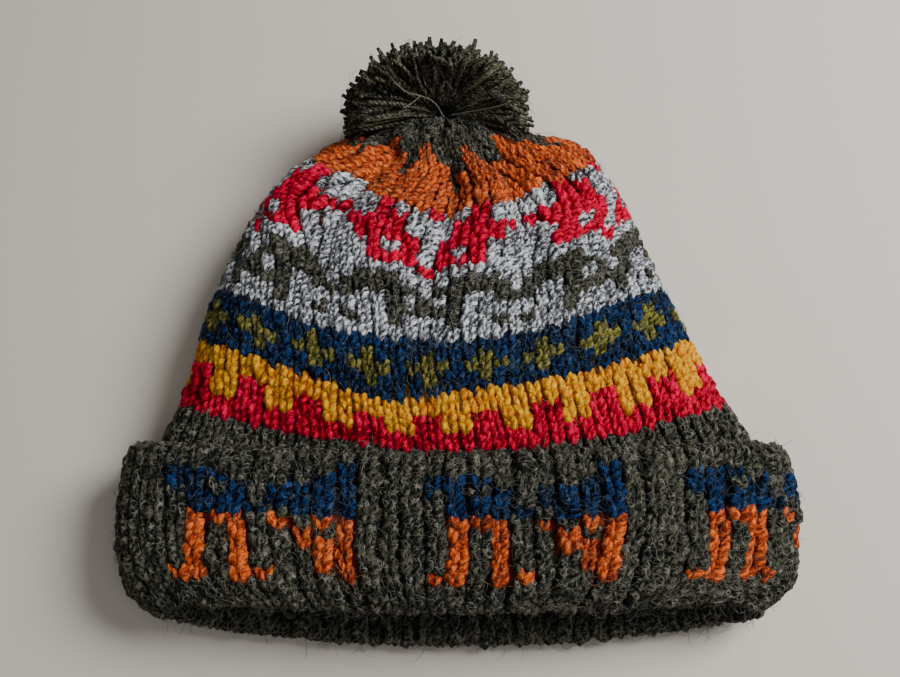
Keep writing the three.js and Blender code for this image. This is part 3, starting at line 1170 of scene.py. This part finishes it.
@dataclass(frozen=True)
class StitchShape:
    """One leg of a knitted stitch, and how much legs differ, as standard deviations.

    Args:
        line: Its points: across as a share of the stitch's width, along as a share of the row's
            height, lift in leg radii, and thickness as a share.
        radius: Its half thickness as a share of the stitch's width.
        filled: How much of its column's width a stitch takes.
        flattened: The most that the half thickness may be: a share of the row's height, and more.
        sway: How much legs differ across, as a share of the stitch's width.
        slip: How much they differ along, as a share of the row's height.
        plumpness: How much they differ in thickness.
        rise: How much they differ in lift, in millimetres.
        unevenness: How much a leg's thickness differs from point to point.
        wobble: How far its points stray, in millimetres.
        toning: How much legs differ in shade.
    """

    line: tuple[tuple[float, float, float, float], ...] = (
        (0.05, -0.38, -0.6, 0.7),
        (0.12, -0.02, 0.2, 0.92),
        (0.19, 0.34, 0.55, 1.04),
        (0.25, 0.70, 0.6, 1.04),
        (0.275, 1.05, 0.3, 0.95),
        (0.25, 1.36, -0.6, 0.7),
    )
    radius: float = 0.268
    filled: float = 0.96
    flattened: tuple[float, float] = (0.5, 0.1)
    sway: float = 0.055
    slip: float = 0.1
    plumpness: float = 0.12
    rise: float = 0.22
    unevenness: float = 0.1
    wobble: float = 0.12
    toning: float = 0.28


@dataclass(frozen=True)
class SlowWaves:
    """Slow waves that run through hand knitting, so that no column or row is quite straight.

    Args:
        columns: For each wave of the columns, how often it comes round the hat, and how far it
            turns in a millimetre along the face, in radians.
        sway: How far they reach, as a share of a stitch's width.
        rows: The same two numbers for the wave of the rows.
        slip: How far that reaches, in millimetres.
    """

    columns: tuple[tuple[float, float], ...] = ((7.0, 0.2), (11.0, -0.13))
    sway: float = 0.07
    rows: tuple[float, float] = (5.0, 0.07)
    slip: float = 0.3

    def across(self, share: np.ndarray, distance: np.ndarray) -> np.ndarray:
        """How far stitches lie to the side, in stitch widths."""
        turn = share * 2 * math.pi
        return self.sway * sum(np.sin(turn * often + distance * rate) for often, rate in self.columns)

    def along(self, share: np.ndarray, distance: np.ndarray) -> np.ndarray:
        """How far they lie along the face, in millimetres."""
        often, rate = self.rows
        return self.slip * np.sin(share * 2 * math.pi * often + distance * rate)


@dataclass
class StitchWriter:
    """Lays stitches on a face and sorts them by yarn.

    Args:
        surface: The face.
        random: The source of small differences.
        crowding: How much closer the stitches lie on top than underneath, as distances and
            amounts.
        pulls: Rows of PULLS.
        shape: The leg of a stitch.
        waves: The slow waves of the knit.
        lift: How far the middle of the legs lies above the face, in millimetres.
        bare_below: The height below which no loose fibre is set.
        meshes: The stitches of each yarn.
        fibres: The loose fibres of each yarn.
        roots: Turns and distances at which each yarn's loose fibres can start.
    """

    surface: KnitSurface
    random: np.random.Generator
    crowding: tuple[tuple[float, float], ...]
    pulls: list[tuple[float, ...]] = field(default_factory=list)
    shape: StitchShape = StitchShape()
    waves: SlowWaves = SlowWaves()
    lift: float = -0.9
    bare_below: float = 4.0
    meshes: dict[Yarn, StrandMesh] = field(default_factory=dict)
    fibres: dict[Yarn, StrandMesh] = field(default_factory=dict)
    roots: dict[Yarn, list[np.ndarray]] = field(default_factory=dict)

    def crowd(self, distance: np.ndarray) -> np.ndarray:
        """How much closer the stitches lie on top at each distance."""
        distances, amounts = np.array(self.crowding).T
        return np.interp(distance, distances, amounts)

    def turn_of(self, share: np.ndarray, distance: np.ndarray) -> np.ndarray:
        """Where a share of the round's stitches lies, 0 and 1 underneath and 0.5 on top."""
        return share + self.crowd(distance) / (2 * math.pi) * np.sin(2 * math.pi * share)

    def stretch(self, share: np.ndarray, distance: np.ndarray) -> np.ndarray:
        """How much wider than evenly spaced a stitch lies there."""
        return 1 + self.crowd(distance) * np.cos(2 * math.pi * share)

    def share_of(self, turns: np.ndarray, distance: float) -> np.ndarray:
        """Which share of the round's stitches lies at each turn, the reverse of turn_of."""
        shares = np.linspace(0, 1, SHARE_SAMPLES)
        return np.interp(turns, self.turn_of(shares, np.full_like(shares, distance)), shares)

    def pulled(self, share: np.ndarray, distance: np.ndarray) -> np.ndarray:
        """Where a distance along the face lies once the knit is pulled along."""
        found = distance
        for centre, width, middle, reach, shift in self.pulls:
            near = np.exp(-(((share - centre) / width) ** 2))
            found = found + shift * near * np.maximum(1 - np.abs(distance - middle) / reach, 0)
        return found

    def row(self, row: KnitRow) -> None:
        """Lays one row of stitches, yarn by yarn and one side's legs before the other's."""
        count = len(row.yarns)
        share = np.arange(count) / count
        middle = np.full(count, (row.start + row.end) / 2)
        column = self.surface.width_at(self.turn_of(share, middle), middle) / count
        width = column * self.shape.filled * self.stretch(share, middle)
        for yarn in sorted(set(row.yarns), key=lambda entry: entry.value):
            chosen = np.array([entry is yarn for entry in row.yarns])
            for side in (-1.0, 1.0):
                self.legs(yarn, row, side, share[chosen][:, None], width[chosen][:, None])

    def legs(
        self, yarn: Yarn, row: KnitRow, side: float, share: np.ndarray, width: np.ndarray
    ) -> None:
        """Lays the legs on one side of a row's stitches in one yarn.

        Args:
            yarn: Their yarn.
            row: Their row.
            side: -1 for the legs nearer the start of the round, and 1 for those nearer its end.
            share: Where the stitches lie in the round, of shape (stitches, 1).
            width: How wide they are, in the same shape.
        """
        number, count, height = len(share), len(row.yarns), row.end - row.start
        shape, random = self.shape, self.random
        across, along, lift, swelling = np.array(shape.line).T[:, None]
        sway = random.normal(0, shape.sway, (number, 1))
        slip = random.normal(0, shape.slip, (number, 1))
        distance = row.start + (along + slip) * height
        waved = self.waves.across(share, distance) / count
        distance = self.pulled(share, distance + self.waves.along(share, distance))
        place = self.turn_of(share + (across * side + sway) / count + waved, distance)
        points, outward = self.surface.at(place, distance)
        of_row, more = shape.flattened
        thick = np.minimum(shape.radius * width, of_row * abs(height) + more)
        thick = thick * random.normal(1.0, shape.plumpness, (number, 1))
        raised = self.lift + lift * thick + random.normal(0, shape.rise, (number, 1))
        radii = thick * swelling * random.normal(1.0, shape.unevenness, (number, len(shape.line)))
        centres = points + outward * raised[..., None]
        centres = centres + random.normal(0, shape.wobble, centres.shape)
        centres[..., 2] = np.maximum(centres[..., 2], radii + FLOOR_GAP)
        tone = random.normal(0, shape.toning, number)
        self.meshes.setdefault(yarn, StrandMesh()).add(centres, radii, outward, tone)
        roots = np.stack([place[:, 2], distance[:, 2]], axis=-1)
        self.roots.setdefault(yarn, []).append(roots)

    def hairs(self, amounts: dict[Yarn, int], fibre: CurlyFibre) -> None:
        """Adds loose curly fibres that stand off the knit.

        Args:
            amounts: How many for each yarn.
            fibre: What they are like.
        """
        for yarn, amount in amounts.items():
            roots = np.concatenate(self.roots[yarn])
            chosen = roots[self.random.integers(0, len(roots), amount)]
            points, outward = self.surface.at(chosen[:, 0], chosen[:, 1])
            upper = points[:, 2] > self.bare_below
            mesh = self.fibres.setdefault(yarn, StrandMesh(sides=FIBRE_SIDES))
            fibre.add_to(mesh, points[upper], outward[upper], self.random)

    def finish(self, part: str, materials: dict[Yarn, bpy.types.Material]) -> None:
        """Makes the pieces of one part, the stitches and the loose fibres of each yarn.

        Args:
            part: The name of the solid that they stand for.
            materials: The material of each yarn.
        """
        for meshes, ending in ((self.meshes, ""), (self.fibres, "_fibres")):
            for yarn, mesh in meshes.items():
                piece = mesh.build(f"{part}_{yarn.value}{ending}", materials[yarn])
                dress(piece, part)


# How many loose fibres each yarn has on the crown and on the cuff.
CROWN_FIBRES = {
    Yarn.FOREST: 1200,
    Yarn.GREY: 1900,
    Yarn.CRIMSON: 1000,
    Yarn.MUSTARD: 400,
    Yarn.BLUE: 900,
    Yarn.OLIVE: 200,
    Yarn.RUST: 600,
}
CUFF_FIBRES = {
    Yarn.FOREST: 4300,
    Yarn.BLUE: 700,
    Yarn.RUST: 350,
}

# The wall under the stitches is painted darker than its yarn, as painted shade in the gaps between
# stitches and inside the hat; this is its brightness as a share of its yarn's usual shade.
BACKING_PAINTED_SHADE = 0.55
BACKING_SHADED_COLOURS = {finish.yarn: np.array(linear(finish.body)) * BACKING_PAINTED_SHADE for finish in FINISHES}


@dataclass(frozen=True)
class WallSide:
    """One side of the wall of knit under the stitches.

    Args:
        depth: How far below the face it lies.
        floor: The least height of its points.
        distances: The distances along the face of its rounds.
    """

    depth: float
    floor: float
    distances: np.ndarray


@dataclass(frozen=True)
class Backing:
    """The closed wall of knit under the stitches.

    Args:
        part: The solid that it stands for.
        slot: Not used.
        writer: What laid the stitches over it.
        rows: Their rows.
        columns: How many points a round has.
    """

    part: str
    slot: Yarn
    writer: StitchWriter
    rows: list[KnitRow]
    columns: int = 144

    def round(self, side: WallSide, distance: float) -> tuple[np.ndarray, np.ndarray, np.ndarray]:
        """Draws one round of the wall.

        Args:
            side: The side that it is on.
            distance: The distance along the face at which it lies.

        Returns:
            Its points, their colours darkened as painted shade, and their stitch and row numbers.
        """
        turns = np.arange(self.columns) / self.columns
        points, outward = self.writer.surface.at(turns, np.full(self.columns, distance))
        points = points - outward * side.depth
        points[:, 2] = np.maximum(points[:, 2], side.floor)
        ends = [row.end for row in self.rows]
        number = min(int(np.searchsorted(ends, distance)), len(self.rows) - 1)
        row = self.rows[number]
        stitch = self.writer.share_of(turns, distance) * len(row.yarns)
        nearest = np.rint(stitch).astype(int) % len(row.yarns)
        # Each yarn's colour, darkened as painted shade.
        shades = np.array([BACKING_SHADED_COLOURS[row.yarns[i]] for i in nearest])
        height = np.full_like(turns, number + (distance - row.start) / (row.end - row.start))
        return points, shades, np.stack([stitch, height, np.zeros_like(turns)], axis=-1)

    def build(self, *sides: WallSide) -> None:
        """Joins the rounds of both sides into one closed wall.

        Args:
            sides: The outer side, and the inner one in the opposite order.
        """
        rounds = [self.round(side, distance) for side in sides for distance in side.distances]
        points, shades, cells = [np.concatenate(values) for values in zip(*rounds)]
        low = np.arange(len(rounds))[:, None] * self.columns
        high = np.roll(low, -1, axis=0)
        column = np.arange(self.columns)[None]
        after = np.roll(column, -1, axis=1)
        corners = [low + column, high + column, high + after, low + after]
        quads = np.stack(corners, axis=-1).reshape(-1, 4)
        name = f"{self.part}_backing"
        material = BackingFinish(name).material()
        piece = mesh_object(name, points, quads, np.zeros((0, 3), int), material)
        add_values(piece, "shade", shades)
        add_values(piece, "cell", cells)
        dress(piece, self.part)


def knit_chart(
    chart: list[str], yarns: dict[str, Yarn], face: tuple[float, float], count: int, centre: int
) -> list[KnitRow]:
    """Turns a chart into the rows between two distances.

    Args:
        chart: A repeat of each row, first row first, one letter for each stitch.
        yarns: The yarn of each letter.
        face: The distances along the face at which the rows start and end.
        count: How many stitches go round.
        centre: Which stitch of the repeat lies in the middle of the top.

    Returns:
        The rows.
    """
    start, end = face
    height = (end - start) / len(chart)
    found = []
    for index, line in enumerate(chart):
        row = [yarns[line[(centre + count // 2 - stitch) % len(line)]] for stitch in range(count)]
        found.append(KnitRow(row, start + index * height, start + (index + 1) * height))
    return found


@dataclass(frozen=True)
class Band:
    """One charted band of the crown.

    Args:
        chart: A repeat of its rows, top row first.
        ground: The yarn of a dot in the chart.
        centre: Which stitch of the repeat lies in the middle of the top.
        face: The distances along the top at which it starts and ends.
    """

    chart: list[str]
    ground: Yarn
    centre: int
    face: tuple[float, float]


@dataclass
class CrownKnit:
    """The crown: rows of colour work from the cuff to the gathered top.

    Args:
        surface: Its outer face.
        random: The source of small differences.
        stitches: How many stitches go round it.
        letters: The yarns of its charts.
        bands: Its charted bands, from the cuff upwards.
        tip: How far before the end of its face the last row ends.
        points: How many points the star has.
        star_shift: How far the star is turned back, as a share of the way from point to point.
        inside: How far before that end its inner side starts.
        wall_rounds: How many rounds the outer and the inner side of the wall under it have.
        fibre: What its loose fibres are like.
    """

    surface: KnitSurface
    random: np.random.Generator
    stitches: int = 72
    letters: dict[str, Yarn] = field(
        default_factory=lambda: {
            "R": Yarn.CRIMSON,
            "Y": Yarn.MUSTARD,
            "O": Yarn.OLIVE,
            "D": Yarn.FOREST,
        }
    )
    bands: tuple[Band, ...] = (
        Band(["D"] * 4, Yarn.FOREST, 0, (0.0, 14.1)),
        Band(TOOTH_CHART, Yarn.MUSTARD, 0, (14.1, 35.7)),
        Band(CROSS_CHART, Yarn.BLUE, 1, (35.7, 52.9)),
        Band(FLOWER_CHART, Yarn.GREY, 7, (52.9, 104.8)),
    )
    tip: float = 0.5
    points: int = 12
    star_shift: float = 0.08
    inside: float = 14.0
    wall_rounds: tuple[int, int] = (70, 35)
    fibre: CurlyFibre = CurlyFibre(5.5, 0.07)

    def rows(self) -> list[KnitRow]:
        """Lists the rows from the joint upwards."""
        found = []
        for band in self.bands:
            yarns = {**self.letters, ".": band.ground}
            chart = band.chart[::-1]
            found += knit_chart(chart, yarns, band.face, self.stitches, band.centre)
        return found + self.star_rows()

    def star_rows(self) -> list[KnitRow]:
        """Lists the rows of the star, whose dark points widen upwards until they meet."""
        start, end = self.bands[-1].face[1], self.surface.length - self.tip
        height = (end - start) / len(STAR_ROWS)
        found = []
        for index, (count, reach) in enumerate(STAR_ROWS):
            phase = (np.arange(count) / count * self.points + self.star_shift) % 1.0
            dark = np.minimum(phase, 1 - phase) < reach
            yarns = [Yarn.FOREST if within else Yarn.RUST for within in dark]
            found.append(KnitRow(yarns, start + index * height, start + (index + 1) * height))
        return found

    def build(self, materials: dict[Yarn, bpy.types.Material]) -> None:
        """Builds the stitches, the loose fibres and the wall under them.

        Args:
            materials: The material of each yarn.
        """
        writer = StitchWriter(self.surface, self.random, CROWN_CROWDING, PULLS)
        rows = self.rows()
        for row in rows:
            writer.row(row)
        writer.hairs(CROWN_FIBRES, self.fibre)
        writer.finish("crown", materials)
        outer, inner = self.wall_rounds
        out = np.linspace(0.0, self.surface.length - self.tip, outer)
        back = np.linspace(self.surface.length - self.inside, 0.0, inner)
        Backing("crown", Yarn.GREY, writer, rows).build(
            WallSide(BACKING_DEPTH, BACKING_FLOOR, out),
            WallSide(CROWN_WALL, INNER_FLOOR, back),
        )


@dataclass
class CuffKnit:
    """The turned-up cuff: wide ribbed columns with a figure in two colours.

    Args:
        surface: Its face from inside the top edge, over the lip, to the joint.
        random: The source of small differences.
        stitches: How many columns go round it.
        face: Where the charted rows start and end, as distances along the path.
        letters: The yarns of its chart.
        centre: Which stitch of the figure lies in the middle of the top.
        plain: Columns at the left edge where the figure is left out.
        plain_after: How many plain rows at most follow the chart, over the lip.
        edges: How far the wall under the stitches stays from the ends of the path.
        thinner: How much thinner that wall is than a layer of the cuff.
        wall_rounds: How many rounds each of its sides has.
        fibre: What its loose fibres are like.
    """

    surface: KnitSurface
    random: np.random.Generator
    stitches: int = 72
    face: tuple[float, float] = (6.4, 64.1)
    letters: dict[str, Yarn] = field(
        default_factory=lambda: {"B": Yarn.BLUE, "O": Yarn.RUST, ".": Yarn.FOREST}
    )
    centre: int = 1
    plain: range = range(53, 58)
    plain_after: int = 3
    edges: tuple[float, float] = (1.0, 0.6)
    thinner: float = 0.6
    wall_rounds: int = 44
    fibre: CurlyFibre = CurlyFibre(6.5, 0.075)

    def rows(self) -> list[KnitRow]:
        """Lists the rows from inside the top edge to the joint."""
        start, end = self.face
        figured = knit_chart(CUFF_CHART, self.letters, self.face, self.stitches, self.centre)
        for row in figured:
            for stitch in self.plain:
                row.yarns[stitch] = Yarn.FOREST
        height = (end - start) / len(CUFF_CHART)
        bare = [Yarn.FOREST] * self.stitches
        found = [KnitRow(bare, start - height, start), *figured]
        place = end
        while place < min(self.surface.length - height, end + self.plain_after * height):
            found.append(KnitRow(bare, place, place + height))
            place += height
        return found

    def build(self, materials: dict[Yarn, bpy.types.Material]) -> None:
        """Builds the stitches, the loose fibres and the wall under them.

        Args:
            materials: The material of each yarn.
        """
        writer = StitchWriter(self.surface, self.random, CUFF_CROWDING)
        rows = self.rows()
        for row in rows:
            writer.row(row.turned())
        writer.hairs(CUFF_FIBRES, self.fibre)
        writer.finish("cuff", materials)
        first, last = self.edges
        out = np.linspace(first, self.surface.length - last, self.wall_rounds)
        Backing("cuff", Yarn.FOREST, writer, rows).build(
            WallSide(BACKING_DEPTH, BACKING_FLOOR, out),
            WallSide(CUFF_LAYER - self.thinner, INNER_FLOOR, out[::-1]),
        )


@dataclass(frozen=True)
class PomPom:
    """The pom-pom: cut yarn ends that fan out of a tied middle and part towards the crown.

    Args:
        centre: Its middle.
        radius: How far the ends reach.
        strands: How many ends a whole ball would have.
        thickness: The yarn's radius.
        parting: The direction in which the ends part.
        spread: How near to that direction the nearest ends point, as a cosine.
        over: How far towards the crown the ends point, above it and more at the sides.
        under: How far they do so below it.
        beside: The direction's height at which the ends begin to count as above the crown.
        scatter: How much directions differ.
        trim: The mean reach of the ends and how much they differ, as shares of the radius.
        trimmed: Their least and greatest reach.
        far_cut: How much shorter the ends on the far side are.
        right_cut: How much shorter those on the right are, and longer those on the left.
        start: Where an end starts, as a share of its reach.
        bend: How much the ends differ in how far they bend, and the most.
        wave: How much they differ in how far they wave.
        waving: How far the wave turns along an end, in radians.
        droop: How far the ends hang, as a share of their reach.
        plumpness: How much they differ in thickness.
        swelling: How thick an end is at each of its points, as shares.
        toning: How much they differ in shade.
        fibres: How many loose fibres there are.
        fibre: What they are like.
        fibre_ring: The first point of an end from which they start.
        front: The direction that its loose threads face.
        front_up: The direction up across them.
        thread: The radius of those threads.
        thread_rings: How many points each has.
        thread_lift: How far over the middle they lie, and how much more for each millimetre out.
    """

    centre: tuple[float, float, float] = (-5.0, 85.5, 37.0)
    radius: float = 36.0
    strands: int = 4200
    thickness: float = 0.92
    parting: tuple[float, float, float] = (0.0, -0.62, 0.78)
    spread: float = 0.5
    over: tuple[float, float] = (-0.12, -0.2)
    under: float = -0.5
    beside: float = -0.2
    scatter: float = 0.09
    trim: tuple[float, float] = (0.97, 0.035)
    trimmed: tuple[float, float] = (0.85, 1.01)
    far_cut: float = 0.4
    right_cut: float = 0.07
    start: float = 0.12
    bend: tuple[float, float] = (0.17, 0.3)
    wave: float = 0.035
    waving: float = 7.0
    droop: float = 0.1
    plumpness: float = 0.12
    swelling: tuple[float, ...] = (0.7, 0.85, 0.95, 1.0, 1.05, 1.1, 0.8)
    toning: float = 0.4
    fibres: int = 1500
    fibre: CurlyFibre = CurlyFibre(5.0, 0.07)
    fibre_ring: int = 2
    front: tuple[float, float, float] = (0.0, -0.342, 0.94)
    front_up: tuple[float, float, float] = (0.0, 0.94, 0.342)
    thread: float = 0.3
    thread_rings: int = 13
    thread_lift: tuple[float, float] = (5.0, 0.75)

    def directions(self, random: np.random.Generator) -> np.ndarray:
        """Spreads directions evenly, without those that would stand on the crown.

        Args:
            random: The source of differences.

        Returns:
            Unit vectors of shape (ends, 3).
        """
        number = np.arange(self.strands)
        rise = 1 - (2 * number + 1) / self.strands
        ring = np.sqrt(1 - rise * rise)
        angle = number * math.pi * (3 - math.sqrt(5))
        found = np.stack([ring * np.cos(angle), ring * np.sin(angle), rise], axis=-1)
        found = unit(found + random.normal(0, self.scatter, found.shape))
        middle, sides = self.over
        above = middle + sides * found[:, 0] ** 2
        nearest = np.where(found[:, 2] > self.beside, above, self.under)
        kept = (found[:, 1] > nearest) & (found @ unit(np.array(self.parting)) < self.spread)
        return found[kept]

    def ends(
        self, mesh: StrandMesh, direction: np.ndarray, random: np.random.Generator
    ) -> np.ndarray:
        """Adds the cut ends to a mesh.

        Args:
            mesh: The mesh.
            direction: The directions in which they point.
            random: The source of differences.

        Returns:
            Their centre lines.
        """
        count, rings = len(direction), len(self.swelling)
        reach = self.radius * np.clip(random.normal(*self.trim, count), *self.trimmed)
        far = self.far_cut * np.maximum(direction[:, 1], 0) ** 2
        reach = reach * (1 - far - self.right_cut * direction[:, 0])
        step = np.linspace(0, 1, rings)[None, :, None]
        sway = unit(np.cross(direction, random.normal(0, 1, direction.shape)))[:, None]
        usual, most = self.bend
        bend = np.clip(random.normal(0, usual, (count, 1, 1)), -most, most)
        wave = random.normal(0, self.wave, (count, 1, 1))
        along = self.start + (1 - self.start) * step
        path = direction[:, None] * along + sway * bend * step**2
        path = path + sway * wave * np.sin(step * self.waving)
        path[..., 2] -= self.droop * step[..., 0] ** 2
        centres = path * reach[:, None, None] + np.array(self.centre)
        radii = self.thickness * random.normal(1.0, self.plumpness, (count, 1)) * np.ones(rings)
        radii = radii * np.array(self.swelling)
        centres[..., 2] = np.maximum(centres[..., 2], radii + FLOOR_GAP)
        tone = random.normal(0, self.toning, count)
        mesh.add(centres, radii, np.broadcast_to(sway, centres.shape), tone)
        return centres

    def build(self, material: bpy.types.Material, random: np.random.Generator) -> None:
        """Builds the ends, the loose fibres and the threads that lie across them.

        Args:
            material: The yarn's material.
            random: The source of differences.
        """
        direction = self.directions(random)
        ends, loose = StrandMesh(), StrandMesh(sides=FIBRE_SIDES)
        centres = self.ends(ends, direction, random)
        dress(ends.build("pompom_strands", material), "pompom")
        chosen = random.integers(0, len(direction), self.fibres)
        ring = random.integers(self.fibre_ring, len(self.swelling), self.fibres)
        self.fibre.add_to(loose, centres[chosen, ring], direction[chosen], random)
        self.threads(loose)
        dress(loose.build("pompom_fibres", material), "pompom")

    def threads(self, mesh: StrandMesh) -> None:
        """Lays the loose threads of TIE_THREADS across the fan of ends."""
        front = unit(np.array(self.front))
        middle, outer = self.thread_lift
        for row in TIE_THREADS:
            points = np.array(row).reshape(-1, 2)
            steps = np.linspace(0, len(points) - 1, self.thread_rings)
            flat = np.array([rows_between(points, step) for step in steps])
            lift = middle + outer * np.linalg.norm(flat, axis=-1)
            line = np.array(self.centre) + flat[:, :1] * [[1.0, 0, 0]] + flat[:, 1:] * self.front_up
            line = (line + lift[:, None] * front)[None]
            radii = np.full(line.shape[:2], self.thread)
            mesh.add(line, radii, np.broadcast_to(front, line.shape), np.zeros(1), hair=1.0)


@dataclass(frozen=True)
class FloorFinish:
    """The look of the pale floor.

    Args:
        shades: Its two colours.
        cloud_scale: How fine the clouds in it are.
        clouds: How strongly they show.
        roughness: How dull it is.
        depth: How deep its relief is, in metres.
    """

    shades: tuple[str, str] = ("ddd6cb", "d2cabf")
    cloud_scale: float = 3.0
    clouds: float = 0.2
    roughness: float = 0.9
    depth: float = 0.0001

    def material(self) -> bpy.types.Material:
        """Makes the floor's material."""
        sheet = ShaderSheet("pale_floor")
        cloud = sheet.noise(sheet.place(), self.cloud_scale, 1.0)
        first, second = (linear(code) for code in self.shades)
        sheet.finish(sheet.blend(cloud * self.clouds, first, second), self.roughness, cloud, self.depth)
        return sheet.material


@dataclass(frozen=True)
class Lamp:
    """A soft round lamp that faces the hat.

    Args:
        name: Its name.
        place: Where it hangs, in metres.
        size: How wide it is, in metres.
        power: Its power in watts.
    """

    name: str
    place: tuple[float, float, float]
    size: float
    power: float

    def hang(self) -> None:
        """Puts the lamp in the scene."""
        data = bpy.data.lights.new(self.name, "AREA")
        data.shape = "DISK"
        data.size = self.size
        data.energy = self.power
        lamp = bpy.data.objects.new(self.name, data)
        lamp.location = self.place
        lamp.rotation_euler = (-Vector(self.place)).to_track_quat("-Z", "Y").to_euler()
        bpy.context.scene.collection.objects.link(lamp)


@dataclass(frozen=True)
class Studio:
    """The pale floor, the soft light and the camera.

    Args:
        lamps: Its lamps.
        air: The colour of the light from all round.
        air_strength: How strong that is.
        floor_size: Half the width of the floor.
        floor_thickness: Its thickness.
        aim: The point that the camera looks at.
        distance: How far from it the camera is.
        elevation: Its angle above the floor, in degrees.
        lens: The camera's focal length and the width of its sensor.
    """

    lamps: tuple[Lamp, ...] = (
        Lamp("window", (0.85, 0.3, 1.0), 0.75, 21.5),
        Lamp("room", (0.2, -0.5, 1.1), 0.9, 1.7),
    )
    air: tuple[float, float, float, float] = (1.0, 0.98, 0.95, 1.0)
    air_strength: float = 0.15
    floor_size: float = 1500.0
    floor_thickness: float = 6.0
    aim: tuple[float, float, float] = (-2.3, 7.15, 0.0)
    distance: float = 493.0
    elevation: float = 70.0
    lens: tuple[float, float] = (50.0, 36.0)

    def build(self) -> None:
        """Builds everything that isn't part of the hat."""
        self.floor()
        for lamp in self.lamps:
            lamp.hang()
        world = bpy.data.worlds.new("room")
        world.use_nodes = True
        background = world.node_tree.nodes["Background"]
        background.inputs["Color"].default_value = self.air
        background.inputs["Strength"].default_value = self.air_strength
        bpy.context.scene.world = world
        self.camera()

    def floor(self) -> None:
        """Lays the floor."""
        ways = ((-1, -1), (1, -1), (1, 1), (-1, 1))
        levels = (-self.floor_thickness, 0.0)
        points = [(x * self.floor_size, y * self.floor_size, z) for z in levels for x, y in ways]
        sides = [(i, (i + 1) % 4, (i + 1) % 4 + 4, i + 4) for i in range(4)]
        quads = np.array([(3, 2, 1, 0), (4, 5, 6, 7), *sides])
        material = FloorFinish().material()
        floor = mesh_object("floor", np.array(points), quads, np.zeros((0, 3), int), material)

    def camera(self) -> None:
        """Places the camera as the photo was taken."""
        angle = math.radians(self.elevation)
        aim = Vector(self.aim) * MM
        back = Vector((0.0, -math.cos(angle), math.sin(angle)))
        data = bpy.data.cameras.new("camera")
        data.lens, data.sensor_width = self.lens
        camera = bpy.data.objects.new("camera", data)
        camera.location = aim + back * self.distance * MM
        camera.rotation_euler = (-back).to_track_quat("-Z", "Y").to_euler()
        bpy.context.scene.collection.objects.link(camera)
        bpy.context.scene.camera = camera


def plain(box: tuple[object, object]) -> list[list[float]]:
    """Turns a box's two corners into plain lists."""
    return [[float(value) for value in corner] for corner in box]


def main() -> None:
    """Builds the hat's looks in order."""
    logging.basicConfig(level=logging.INFO, format="%(message)s")
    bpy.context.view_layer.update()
    random = np.random.default_rng(SEED)
    materials = {finish.yarn: finish.material() for finish in FINISHES}
    form = LyingForm()
    CrownKnit(form.crown(), random).build(materials)
    CuffKnit(form.cuff(), random).build(materials)
    PomPom().build(materials[Yarn.POMPOM], random)
    Studio().build()


if __name__ == "__main__":
    main()
